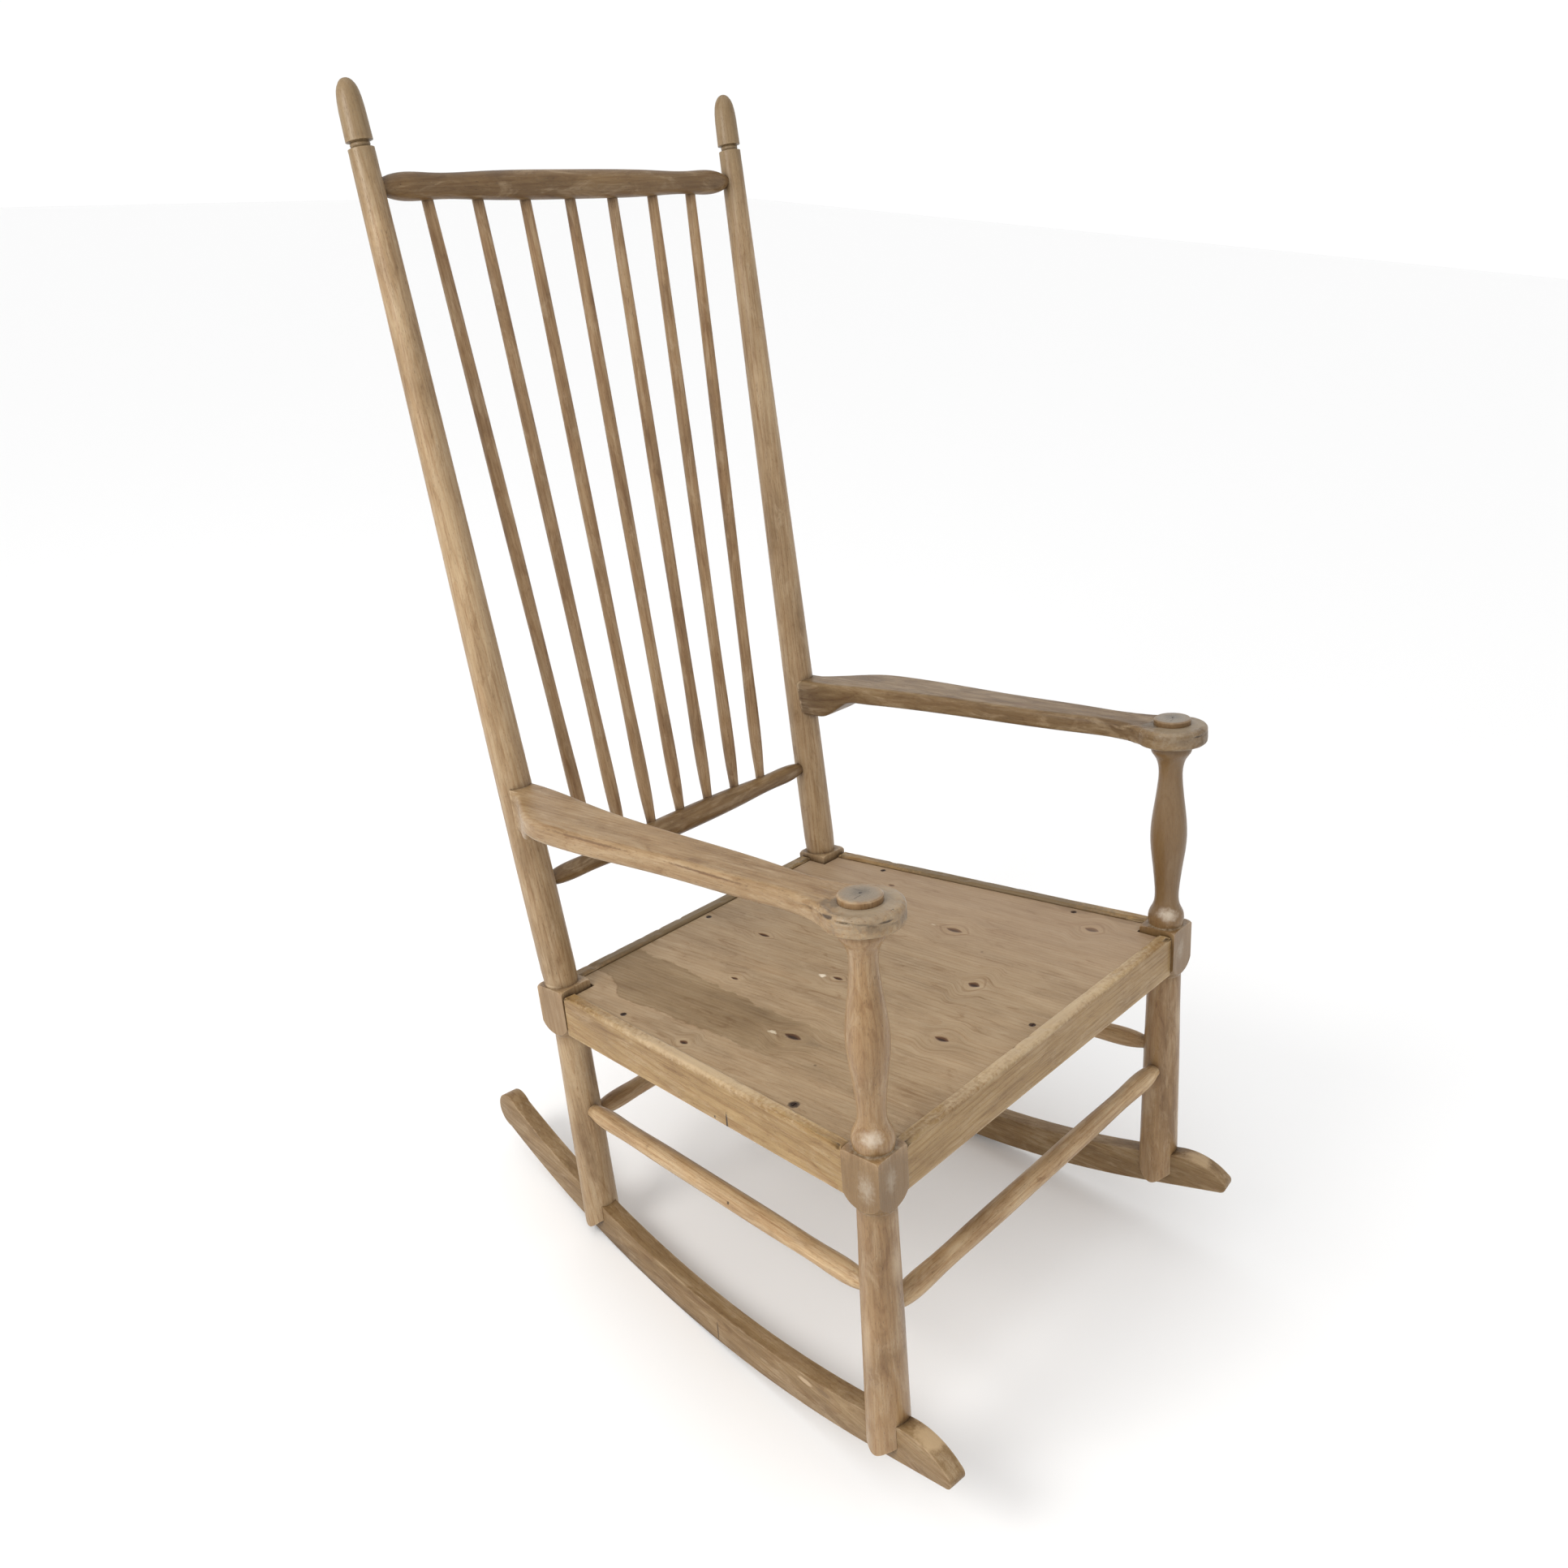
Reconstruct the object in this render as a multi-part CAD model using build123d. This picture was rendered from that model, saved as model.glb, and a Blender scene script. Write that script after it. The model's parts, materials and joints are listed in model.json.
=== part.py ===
"""High-backed rocking chair in bare wood: turned posts, seven back spindles, plank arms, bent rockers.

The chair is laid out in its seat frame: X across, Y from the front posts to the back, Z up, with the
seat level and Z = 0 at the lowest point of the rockers. Left is -X and right is +X. At the end every
piece is leaned back together to the pose in which the empty chair comes to rest on its rockers, and
moved so that the middle of the footprint is at the origin and the floor is at Z = 0. All in mm.
"""

import math
import os

from build123d import *

# Front posts: upright, one turned piece each from the arm down to the rocker
FRONT_POST_X = 255.5
ARM_TOP = 571.0
ARM_THICKNESS = 20.0
TENON_PROUD = 5.5
TENON_RADIUS = 18.4
COLLAR_RADIUS = 20.4

# Back posts: the turned top leans back and outward, the block and the leg stand nearly upright
BLOCK_Y = 450.0
BACK_BLOCK_X = 215.0
BACK_LEAN = 0.1085
BACK_SPLAY = 0.0282
BACK_LEG_LEAN = 0.029
BACK_LEG_SPLAY = 0.010
BACK_TOP = 1219.5

# Square blocks at seat height and the round legs below them
BLOCK = 40.0
BLOCK_TOP = 345.0
BLOCK_FOOT = 286.0
BLOCK_CENTRE = 318.0
LEG_TOP_RADIUS = 17.7
LEG_FOOT_RADIUS = 20.8
BACK_LEG_FOOT_RADIUS = 19.8

# Rockers
ROCKER_RADIUS = 990.0
ROCKER_BOTTOM_AT = 182.0
ROCKER_HEIGHT = 38.5
ROCKER_THICKNESS = 19.0
ROCKER_NOSE = 82.0
NOSE_STRAIGHT = 12.0
NOSE_START = 22.0
ROCKER_TAIL = 629.0
CHEEK_LIFT = 6.0

# Seat frame and seat panel
RAIL_TOP = 341.5
RAIL_HEIGHT = 46.0
RAIL_THICKNESS = 14.5
RAIL_SET_BACK = 3.0
RAIL_EDGE = 4.0
RAIL_TENON_LENGTH = 13.0
RAIL_TENON_THICKNESS = 9.0
RAIL_TENON_HEIGHT = 30.0
PANEL_THICKNESS = 12.0
PANEL_BELOW_RAIL = 4.0
PANEL_GAP = 1.0
PANEL_NOTCH_GAP = 2.0
BATTEN_WIDTH = 20.0
BATTEN_HEIGHT = 18.0

# Back
CREST_Z = 1131.0
CREST_RADIUS = 13.8
CREST_END_RADIUS = 11.4
CREST_TENON_LENGTH = 13.0
LOWER_RAIL_Z = 455.0
LOWER_RAIL_RADIUS = 13.5
LOWER_RAIL_END_RADIUS = 9.6
LOWER_RAIL_TENON_LENGTH = 14.0
BACK_RAIL_TENON_RADIUS = 7.0
BACK_RAIL_BEHIND_POST = 3.0
POST_RADIUS_AT_CREST = 11.2
POST_RADIUS_AT_LOWER_RAIL = 17.4
SPINDLE_BEHIND_RAIL = 5.0
SPINDLES = 7
SPINDLE_TOP_PITCH = 58.2
SPINDLE_FOOT_PITCH = 45.4
SPINDLE_RADIUS = 6.8
SPINDLE_END_RADIUS = 5.5

# Stretchers
SIDE_STRETCHER_Z = 192.0
FRONT_STRETCHER_Z = 169.5
REAR_STRETCHER_Z = 176.0
STRETCHER_RADIUS = 10.6
STRETCHER_SHOULDER_RADIUS = 10.1
STRETCHER_END_RADIUS = 7.5
STRETCHER_TENON_LENGTH = 12.5

# Arms, in plan
ARM_WAIST = 39.0
ARM_WIDTH = 66.0
ARM_END_RADIUS = 36.0
ARM_REAR_WIDTH = 30.0
ARM_REAR_DEPTH = 46.0
ARM_TOP_EDGE = 5.5
ARM_LOW_EDGE = 4.5
POST_RADIUS_AT_ARM = 17.9

# Fixings
PIN_RADIUS = 3.5
ARM_PIN_RADIUS = 2.5
ARM_PIN_LENGTH = 34.0
DOWEL_RADIUS = 4.0
DOWEL_LENGTH = 44.0
DOWEL_BEFORE_POST = 27.6
SCREW_HEAD_RADIUS = 3.0
SCREW_SHANK_RADIUS = 1.6
SCREW_LENGTH = 24.0
SCREW_TIP = 3.0
SCREW_HEAD_HEIGHT = 3.4
SCREW_SINK = 0.6
SCREW_RIM = 0.3
SCREW_SLOT = 0.9
SCREW_INSET = 8.0
SIDE_SCREW_SHARES = (0.23, 0.785)

# Clearances
HOLE_CLEARANCE = 0.15
TENON_END_GAP = 1.0
MORTISE_CLEARANCE = 0.2
SLOT_CLEARANCE = 0.2
SADDLE_CLEARANCE = 0.3


def upper_axis(z):
    """Centre of the right back post above the block, at height z."""
    rise = z - BLOCK_CENTRE
    return Vector(BACK_BLOCK_X + BACK_SPLAY * rise, BLOCK_Y + BACK_LEAN * rise, z)


def lower_axis(z):
    """Centre of the right back leg and block, at height z."""
    rise = z - BLOCK_CENTRE
    return Vector(BACK_BLOCK_X + BACK_LEG_SPLAY * rise, BLOCK_Y + BACK_LEG_LEAN * rise, z)


def front_axis(z):
    """Centre of the right front post at height z."""
    return Vector(FRONT_POST_X, 0, z)


def frame_on(start, end):
    """A location at start whose Z runs to end, with its X kept level and square to the run."""
    along = (end - start).normalized()
    level = Vector(0, 1, 0) if abs(along.X) > 0.7 else Vector(1, 0, 0)
    across = level - along * along.dot(level)
    return Location(Plane(origin=start, x_dir=across, z_dir=along))


def lathe(*runs):
    """A turned solid about Z. Each run holds (height, radius) points: two make a line, more a curve."""
    edges = []
    for run in runs:
        points = [(radius, height) for height, radius in run]
        edges.append(Line(*points) if len(points) == 2 else Spline(*points))
    bottom = (runs[0][0][1], runs[0][0][0])
    top = (runs[-1][-1][1], runs[-1][-1][0])
    if top[0] > 0:
        edges.append(Line(top, (0, top[1])))
    edges.append(Line((0, top[1]), (0, bottom[1])))
    if bottom[0] > 0:
        edges.append(Line((0, bottom[1]), bottom))
    return revolve(Plane.XZ * make_face(edges), Axis.Z)


def mirrored(shape):
    """The left-hand twin of a right-hand piece."""
    return mirror(shape, about=Plane.YZ)


def block_solid():
    """The square block with turned shoulders, standing on Z from its foot at Z = BLOCK_FOOT."""
    half = BLOCK / 2
    corner = half * math.sqrt(2) + 0.4
    box = Pos(0, 0, (BLOCK_TOP + BLOCK_FOOT) / 2) * Box(BLOCK, BLOCK, BLOCK_TOP - BLOCK_FOOT)
    rise = BLOCK_FOOT
    shoulders = lathe(
        [
            (rise, LEG_TOP_RADIUS),
            (rise + 3, LEG_TOP_RADIUS + 1.4),
            (rise + 7, LEG_TOP_RADIUS + 5.2),
            (rise + 11, corner - 2.8),
            (rise + 15, corner - 0.9),
            (rise + 18, corner),
        ],
        [(rise + 18, corner), (BLOCK_TOP - 4, corner)],
        [(BLOCK_TOP - 4, corner), (BLOCK_TOP - 1.2, corner - 1.4), (BLOCK_TOP, corner - 4.5)],
    )
    return box & shoulders


def rocker_plane():
    """The upright plane of the right rocker: X runs from the front leg to the back, Y is up."""
    rear = lower_axis(BLOCK_FOOT / 3)
    run = Vector(rear.X - FRONT_POST_X, rear.Y, 0).normalized()
    return Plane(origin=(FRONT_POST_X, 0, 0), x_dir=run, z_dir=run.cross(Vector(0, 0, 1)))


def arc_point(radius, along):
    """A point on a rocker arc of the given radius, at a distance along the rocker."""
    return along, ROCKER_RADIUS - math.sqrt(radius**2 - (along - ROCKER_BOTTOM_AT) ** 2)


def arc_between(radius, first, last):
    """The rocker arc of the given radius between two distances along the rocker."""
    middle = arc_point(radius, (first + last) / 2)
    return ThreePointArc(arc_point(radius, first), middle, arc_point(radius, last))


def rocker_outline():
    """Side view of a rocker: bent runner, straight under the nose, rounded at nose and tail."""
    inner = ROCKER_RADIUS - ROCKER_HEIGHT
    nose_top = arc_point(inner, -NOSE_START)
    straight = arc_point(ROCKER_RADIUS, NOSE_STRAIGHT)
    slope = (NOSE_STRAIGHT - ROCKER_BOTTOM_AT) / (ROCKER_RADIUS - straight[1])
    nose_foot = (-ROCKER_NOSE + 8, straight[1] - slope * (NOSE_STRAIGHT + ROCKER_NOSE - 8))
    nose_tip = (-ROCKER_NOSE, nose_foot[1] + 8)
    nose_lip = (-ROCKER_NOSE + 4, nose_foot[1] + 15)
    nose_bow = ((nose_lip[0] + nose_top[0]) / 2 - 5, (nose_lip[1] + nose_top[1]) / 2 + 6)
    tail_foot = arc_point(ROCKER_RADIUS, ROCKER_TAIL - 20)
    tail_tip = (ROCKER_TAIL, tail_foot[1] + 21)
    tail_top = arc_point(inner, ROCKER_TAIL - 38)
    return [
        Line(nose_foot, straight),
        arc_between(ROCKER_RADIUS, NOSE_STRAIGHT, ROCKER_TAIL - 20),
        ThreePointArc(tail_foot, tail_tip, tail_top),
        arc_between(inner, ROCKER_TAIL - 38, -NOSE_START),
        ThreePointArc(nose_top, nose_bow, nose_lip),
        ThreePointArc(nose_lip, nose_tip, nose_foot),
    ]


def rocker_right():
    outline = make_face(rocker_outline())
    body = extrude(rocker_plane() * outline, ROCKER_THICKNESS / 2, both=True)
    for axis in (front_axis, lower_axis):
        body -= leg_pin(axis, HOLE_CLEARANCE)
    return body


def rocker_slot():
    """The room a rocker takes in a leg: its outline, its thickness and the slot clearance, open below."""
    inner = ROCKER_RADIUS - ROCKER_HEIGHT - SLOT_CLEARANCE
    top = arc_between(inner, -60, ROCKER_TAIL - 60)
    first, last = top @ 0, top @ 1
    below = -40
    outline = [
        top,
        Line((last.X, last.Y), (last.X, below)),
        Line((last.X, below), (first.X, below)),
        Line((first.X, below), (first.X, first.Y)),
    ]
    width = ROCKER_THICKNESS + 2 * SLOT_CLEARANCE
    return extrude(rocker_plane() * make_face(outline), width / 2, both=True)


def rocker_middle(axis):
    """Where a leg's centre line crosses the middle of the rocker's height, in the seat frame."""
    plane = rocker_plane()
    here = axis(BLOCK_FOOT / 6)
    along = (here - Vector(FRONT_POST_X, 0, 0)).dot(plane.x_dir)
    height = (arc_point(ROCKER_RADIUS, along)[1] + arc_point(ROCKER_RADIUS - ROCKER_HEIGHT, along)[1]) / 2
    return plane.origin + plane.x_dir * along + Vector(0, 0, height)


def leg_pin(axis, clearance=0.0):
    """The pin through a leg's two cheeks and the rocker between them."""
    middle = rocker_middle(axis)
    across = rocker_plane().z_dir
    reach = LEG_FOOT_RADIUS - 3.2
    rod = Cylinder(PIN_RADIUS + clearance, 2 * (reach + clearance))
    return Location(Plane(origin=middle, z_dir=across)) * rod


def cheek_shape(axis, foot_radius):
    """What is kept of a leg's foot: a U in side view, so the two cheeks end in a curve."""
    plane = rocker_plane()
    middle = rocker_middle(axis)
    along = (middle - plane.origin).dot(plane.x_dir)
    floor = arc_point(ROCKER_RADIUS, along)[1] + CHEEK_LIFT
    wide = foot_radius + 3
    roof = BACK_TOP + 20
    bend = 30
    reach = 2 * BACK_LEAN * BACK_TOP
    outline = [
        Spline(
            (along + wide, floor + bend),
            (along + foot_radius * 0.75, floor + bend * 0.32),
            (along, floor),
            (along - foot_radius * 0.75, floor + bend * 0.32),
            (along - wide, floor + bend),
            tangents=[(0, -1), (0, 1)],
        ),
        Line((along - wide, floor + bend), (along - wide, BLOCK_FOOT)),
        Line((along - wide, BLOCK_FOOT), (along - wide - reach, roof)),
        Line((along - wide - reach, roof), (along + wide + reach, roof)),
        Line((along + wide + reach, roof), (along + wide, BLOCK_FOOT)),
        Line((along + wide, BLOCK_FOOT), (along + wide, floor + bend)),
    ]
    return extrude(plane * make_face(outline), 80, both=True)


def leg_solid(foot_radius):
    """The round leg under a block, about Z, from below the rocker up into the block."""
    return lathe(
        [
            (-10, foot_radius + 0.3),
            (60, foot_radius),
            (125, foot_radius * 0.72 + LEG_TOP_RADIUS * 0.28),
            (175, foot_radius * 0.55 + LEG_TOP_RADIUS * 0.45),
            (245, foot_radius * 0.15 + LEG_TOP_RADIUS * 0.85),
            (BLOCK_FOOT + 2, LEG_TOP_RADIUS),
        ]
    )


def front_baluster():
    """The turned part of a front post between its block and the top of its tenon, about Z."""
    arm_foot = ARM_TOP - ARM_THICKNESS
    top = ARM_TOP + TENON_PROUD
    return lathe(
        [
            (BLOCK_TOP - 6, 17.4),
            (BLOCK_TOP + 1, 18.0),
            (BLOCK_TOP + 9, 18.7),
            (BLOCK_TOP + 15, 17.6),
            (BLOCK_TOP + 21, 14.7),
            (BLOCK_TOP + 27, 12.9),
            (BLOCK_TOP + 35, 12.3),
            (BLOCK_TOP + 48, 13.1),
            (BLOCK_TOP + 68, 15.3),
            (BLOCK_TOP + 88, 17.8),
            (BLOCK_TOP + 103, 18.6),
            (BLOCK_TOP + 118, 17.9),
            (BLOCK_TOP + 138, 15.4),
            (BLOCK_TOP + 158, 12.9),
            (BLOCK_TOP + 173, 12.0),
            (arm_foot - 28, 12.3),
            (arm_foot - 21, 13.8),
            (arm_foot - 15, 16.6),
            (arm_foot - 11, 19.4),
            (arm_foot - 8, COLLAR_RADIUS),
        ],
        [(arm_foot - 8, COLLAR_RADIUS), (arm_foot, COLLAR_RADIUS)],
        [(arm_foot, COLLAR_RADIUS), (arm_foot, TENON_RADIUS)],
        [(arm_foot, TENON_RADIUS), (top - 1.2, TENON_RADIUS)],
        [(top - 1.2, TENON_RADIUS), (top, TENON_RADIUS - 1.2)],
    ) - Pos(0, 0, top) * Cone(0.2, 1.6, 3.0)


def front_post_right():
    post = Pos(FRONT_POST_X, 0, 0) * (leg_solid(LEG_FOOT_RADIUS) + block_solid() + front_baluster())
    post &= cheek_shape(front_axis, LEG_FOOT_RADIUS)
    post -= rocker_slot()
    post -= leg_pin(front_axis, HOLE_CLEARANCE)
    post -= arm_front_pin(HOLE_CLEARANCE)
    post -= front_rail(MORTISE_CLEARANCE)
    post -= side_rail_right(MORTISE_CLEARANCE)
    post -= front_stretcher(HOLE_CLEARANCE)
    post -= side_stretcher_right(HOLE_CLEARANCE)
    return post


def back_turning():
    """The turned top of a back post about Z, heights measured along its own axis from the bend."""
    length = (upper_axis(BACK_TOP) - upper_axis(BLOCK_CENTRE)).length
    groove = length - 54.5
    shoulder = (BLOCK_TOP - BLOCK_CENTRE) + 4
    return lathe(
        [(10, 17.6), (shoulder - 6, 17.6)],
        [(shoulder - 6, 17.6), (shoulder + 2, 18.1), (shoulder + 14, 18.5)],
        [
            (shoulder + 14, 18.5),
            (length * 0.16, 18.4),
            (length * 0.31, 17.6),
            (length * 0.51, 15.9),
            (length * 0.71, 14.1),
            (length * 0.86, 12.7),
            (groove - 3.2, 12.0),
        ],
        [(groove - 3.2, 12.0), (groove - 1.8, 8.6)],
        [(groove - 1.8, 8.6), (groove, 9.2), (groove + 1.8, 8.6)],
        [(groove + 1.8, 8.6), (groove + 3.0, 12.4)],
        [
            (groove + 3.0, 12.4),
            (groove + 12, 12.3),
            (groove + 26, 12.0),
            (groove + 39, 11.0),
            (groove + 48, 8.6),
            (groove + 53, 4.8),
            (groove + 54.5, 0),
        ],
    )


def back_post_right():
    top = frame_on(upper_axis(BLOCK_CENTRE), upper_axis(BACK_TOP)) * back_turning()
    stand = frame_on(lower_axis(0), lower_axis(BLOCK_CENTRE))
    post = stand * (leg_solid(BACK_LEG_FOOT_RADIUS) + block_solid())
    post += top
    post &= cheek_shape(lower_axis, BACK_LEG_FOOT_RADIUS)
    post -= rocker_slot()
    post -= leg_pin(lower_axis, HOLE_CLEARANCE)
    post -= crest_rail_body(HOLE_CLEARANCE)
    post -= lower_rail_body(HOLE_CLEARANCE)
    post -= arm_dowel(HOLE_CLEARANCE)
    post -= rear_rail(MORTISE_CLEARANCE)
    post -= side_rail_right(MORTISE_CLEARANCE)
    post -= rear_stretcher(HOLE_CLEARANCE)
    post -= side_stretcher_right(HOLE_CLEARANCE)
    return post


def tenoned_rail(start, end, outward, clearance):
    """A seat rail between two block faces, its outer face set back, with a stub tenon on each end.

    With a clearance it is the room to be cut for the tenons instead: tenons only, enlarged.
    """
    run = end - start
    length = run.length
    frame = Location(Plane(origin=start, x_dir=run, z_dir=(0, 0, 1)))
    side = outward * (BLOCK / 2 - RAIL_SET_BACK - RAIL_THICKNESS / 2)
    middle = RAIL_TOP - RAIL_HEIGHT / 2
    reach = RAIL_TENON_LENGTH + (TENON_END_GAP if clearance else 0)
    tenon = Box(
        length + 2 * reach,
        RAIL_TENON_THICKNESS + 2 * clearance,
        RAIL_TENON_HEIGHT + 2 * clearance,
    )
    shape = tenon
    if not clearance:
        bar = Box(length, RAIL_THICKNESS, RAIL_HEIGHT)
        upper = bar.faces().sort_by(Axis.Z)[-1]
        shape = fillet(upper.edges(), RAIL_EDGE) + tenon
    return frame * Pos(length / 2, side, middle) * shape


def side_run():
    """Where the right side rail's centre line meets the two blocks, at floor level."""
    front = Vector(FRONT_POST_X, 0, 0)
    rear = Vector(BACK_BLOCK_X, BLOCK_Y, 0)
    step = (rear - front).normalized()
    gap = (BLOCK / 2 + BLOCK / 2 * abs(step.X)) / step.Y + 0.1
    lean_room = BACK_LEG_LEAN * RAIL_HEIGHT / 2 + 0.1
    return front + step * gap, rear - step * (gap + lean_room)


def side_rail_right(clearance=0.0):
    start, end = side_run()
    return tenoned_rail(start, end, -1, clearance)


def front_rail(clearance=0.0):
    inner = FRONT_POST_X - BLOCK / 2 - 0.2
    return tenoned_rail(Vector(-inner, 0, 0), Vector(inner, 0, 0), -1, clearance)


def rear_rail(clearance=0.0):
    inner = BACK_BLOCK_X - BLOCK / 2 - 0.6
    return tenoned_rail(Vector(-inner, BLOCK_Y, 0), Vector(inner, BLOCK_Y, 0), 1, clearance)


def panel_outline():
    """The corners of the seat panel in plan, just inside the four rails."""
    face = BLOCK / 2 - RAIL_SET_BACK - RAIL_THICKNESS - PANEL_GAP
    front = -face
    rear = BLOCK_Y + face
    slope = (BACK_BLOCK_X - FRONT_POST_X) / BLOCK_Y
    slant = math.hypot(1, slope)

    def edge_x(y):
        return FRONT_POST_X + slope * y + face * slant

    return [(-edge_x(front), front), (edge_x(front), front), (edge_x(rear), rear), (-edge_x(rear), rear)]


def seat_panel():
    top = RAIL_TOP - PANEL_BELOW_RAIL
    outline = panel_outline()
    face = Pos(0, 0, top - PANEL_THICKNESS) * make_face(Polyline(*outline, close=True))
    slab = extrude(face, PANEL_THICKNESS)
    room = BLOCK + 2 * PANEL_NOTCH_GAP
    for side in (-1, 1):
        slab -= Pos(side * FRONT_POST_X, 0, top) * Box(room, room, 60)
        slab -= Pos(side * BACK_BLOCK_X, BLOCK_Y, top) * Box(room + 1.5, room + 1.5, 60)
    for x, y in screw_places():
        slab -= screw_at(x, y, HOLE_CLEARANCE)
    return slab


def battens():
    """Four battens under the panel's edges, each against the inside of a rail."""
    top = RAIL_TOP - PANEL_BELOW_RAIL - PANEL_THICKNESS - 0.05
    corners = panel_outline()
    front_y, rear_y = corners[0][1], corners[2][1]
    offset = PANEL_GAP - 0.05
    bars = {}
    stop = BLOCK / 2 + PANEL_NOTCH_GAP
    for name, y, half in (
        ("front", front_y - offset + BATTEN_WIDTH / 2, FRONT_POST_X - stop - 4),
        ("rear", rear_y + offset - BATTEN_WIDTH / 2, BACK_BLOCK_X - stop - 6),
    ):
        bars[name] = Pos(0, y, top - BATTEN_HEIGHT / 2) * Box(2 * half, BATTEN_WIDTH, BATTEN_HEIGHT)
    start, end = side_run()
    step = (end - start).normalized()
    inward = Vector(-step.Y, step.X, 0)
    shift = RAIL_THICKNESS - (BLOCK / 2 - RAIL_SET_BACK) + 0.05 + BATTEN_WIDTH / 2
    first = start + step * (BATTEN_WIDTH + 14) + inward * shift
    last = end - step * (BATTEN_WIDTH + 14) + inward * shift
    length = (last - first).length
    frame = Location(Plane(origin=first, x_dir=step, z_dir=(0, 0, 1)))
    bar = Box(length, BATTEN_WIDTH, BATTEN_HEIGHT)
    bars["right"] = frame * Pos(length / 2, 0, top - BATTEN_HEIGHT / 2) * bar
    bars["left"] = mirrored(bars["right"])
    for x, y in screw_places():
        for name in bars:
            bars[name] -= screw_at(x, y, HOLE_CLEARANCE)
    return bars


def screw_places():
    """Where the panel's screws stand in plan: one in the middle of each end, two along each side."""
    corners = panel_outline()
    front_y, rear_y = corners[0][1], corners[2][1]
    slope = (corners[2][0] - corners[1][0]) / (rear_y - front_y)
    places = [(0, front_y + SCREW_INSET), (0, rear_y - SCREW_INSET)]
    for share in SIDE_SCREW_SHARES:
        y = front_y + share * (rear_y - front_y)
        x = corners[1][0] + slope * (y - front_y) - SCREW_INSET
        places += [(-x, y), (x, y)]
    return places


def screw_at(x, y, clearance=0.0):
    """A countersunk wood screw, head just under the top of the panel."""
    top = RAIL_TOP - PANEL_BELOW_RAIL
    shank = SCREW_SHANK_RADIUS + clearance
    head = SCREW_HEAD_RADIUS + clearance
    taper_from = -SCREW_LENGTH + SCREW_TIP
    head_from = -SCREW_SINK - SCREW_HEAD_HEIGHT
    crown = 1.0 if clearance else -SCREW_SINK + SCREW_RIM
    screw = lathe(
        [(-SCREW_LENGTH - clearance, 0), (taper_from, shank)],
        [(taper_from, shank), (head_from, shank)],
        [(head_from, shank), (-SCREW_SINK, head)],
        [(-SCREW_SINK, head), (crown, head)],
    )
    if not clearance:
        screw -= Pos(0, 0, crown) * Box(2 * SCREW_HEAD_RADIUS + 1, SCREW_SLOT, 1.4)
    return Pos(x, y, top) * screw


def cigar(start, end, end_radius, middle_radius, tenon_radius, depth, clearance=0.0):
    """A turned bar, thickest at the middle, drawn in to a round tenon at both ends.

    With a clearance it is the hole to be bored instead: the tenons and their clearance only.
    """
    length = (end - start).length
    frame = frame_on(start, end)
    if clearance:
        deep = depth + TENON_END_GAP
        bore = Cylinder(tenon_radius + clearance, length + 2 * deep)
        return frame * Pos(0, 0, length / 2) * bore
    runs = [
        [(-depth, tenon_radius - 0.8), (-depth + 0.8, tenon_radius)],
        [(-depth + 0.8, tenon_radius), (2, tenon_radius)],
        [
            (2, tenon_radius),
            (12, end_radius * 0.75 + tenon_radius * 0.25),
            (length * 0.1 + 12, end_radius * 0.92 + middle_radius * 0.08),
            (length * 0.25, end_radius * 0.5 + middle_radius * 0.5),
            (length * 0.5, middle_radius),
            (length * 0.75, end_radius * 0.5 + middle_radius * 0.5),
            (length * 0.9 - 12, end_radius * 0.92 + middle_radius * 0.08),
            (length - 12, end_radius * 0.75 + tenon_radius * 0.25),
            (length - 2, tenon_radius),
        ],
        [(length - 2, tenon_radius), (length + depth - 0.8, tenon_radius)],
        [(length + depth - 0.8, tenon_radius), (length + depth, tenon_radius - 0.8)],
    ]
    return frame * lathe(*runs)


def side_stretcher_right(clearance=0.0):
    front = front_axis(SIDE_STRETCHER_Z)
    rear = lower_axis(SIDE_STRETCHER_Z)
    step = (rear - front).normalized()
    return cigar(
        front + step * (LEG_TOP_RADIUS + 1),
        rear - step * (LEG_TOP_RADIUS + 1),
        STRETCHER_SHOULDER_RADIUS,
        STRETCHER_RADIUS,
        STRETCHER_END_RADIUS,
        STRETCHER_TENON_LENGTH,
        clearance,
    )


def cross_stretcher(axis, z, clearance):
    """A stretcher across the chair between the two legs on one axis."""
    at = axis(z)
    inner = at.X - LEG_TOP_RADIUS - 1
    return cigar(
        Vector(-inner, at.Y, z),
        Vector(inner, at.Y, z),
        STRETCHER_SHOULDER_RADIUS,
        STRETCHER_RADIUS,
        STRETCHER_END_RADIUS,
        STRETCHER_TENON_LENGTH,
        clearance,
    )


def front_stretcher(clearance=0.0):
    return cross_stretcher(front_axis, FRONT_STRETCHER_Z, clearance)


def rear_stretcher(clearance=0.0):
    return cross_stretcher(lower_axis, REAR_STRETCHER_Z, clearance)


def crest_rail_body(clearance=0.0):
    at = upper_axis(CREST_Z) + Vector(0, BACK_RAIL_BEHIND_POST, 0)
    inner = at.X - POST_RADIUS_AT_CREST
    return cigar(
        Vector(-inner, at.Y, CREST_Z),
        Vector(inner, at.Y, CREST_Z),
        CREST_END_RADIUS,
        CREST_RADIUS,
        BACK_RAIL_TENON_RADIUS,
        CREST_TENON_LENGTH,
        clearance,
    )


def lower_rail_body(clearance=0.0):
    at = upper_axis(LOWER_RAIL_Z) + Vector(0, BACK_RAIL_BEHIND_POST, 0)
    inner = at.X - POST_RADIUS_AT_LOWER_RAIL
    return cigar(
        Vector(-inner, at.Y, LOWER_RAIL_Z),
        Vector(inner, at.Y, LOWER_RAIL_Z),
        LOWER_RAIL_END_RADIUS,
        LOWER_RAIL_RADIUS,
        BACK_RAIL_TENON_RADIUS,
        LOWER_RAIL_TENON_LENGTH,
        clearance,
    )


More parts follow.
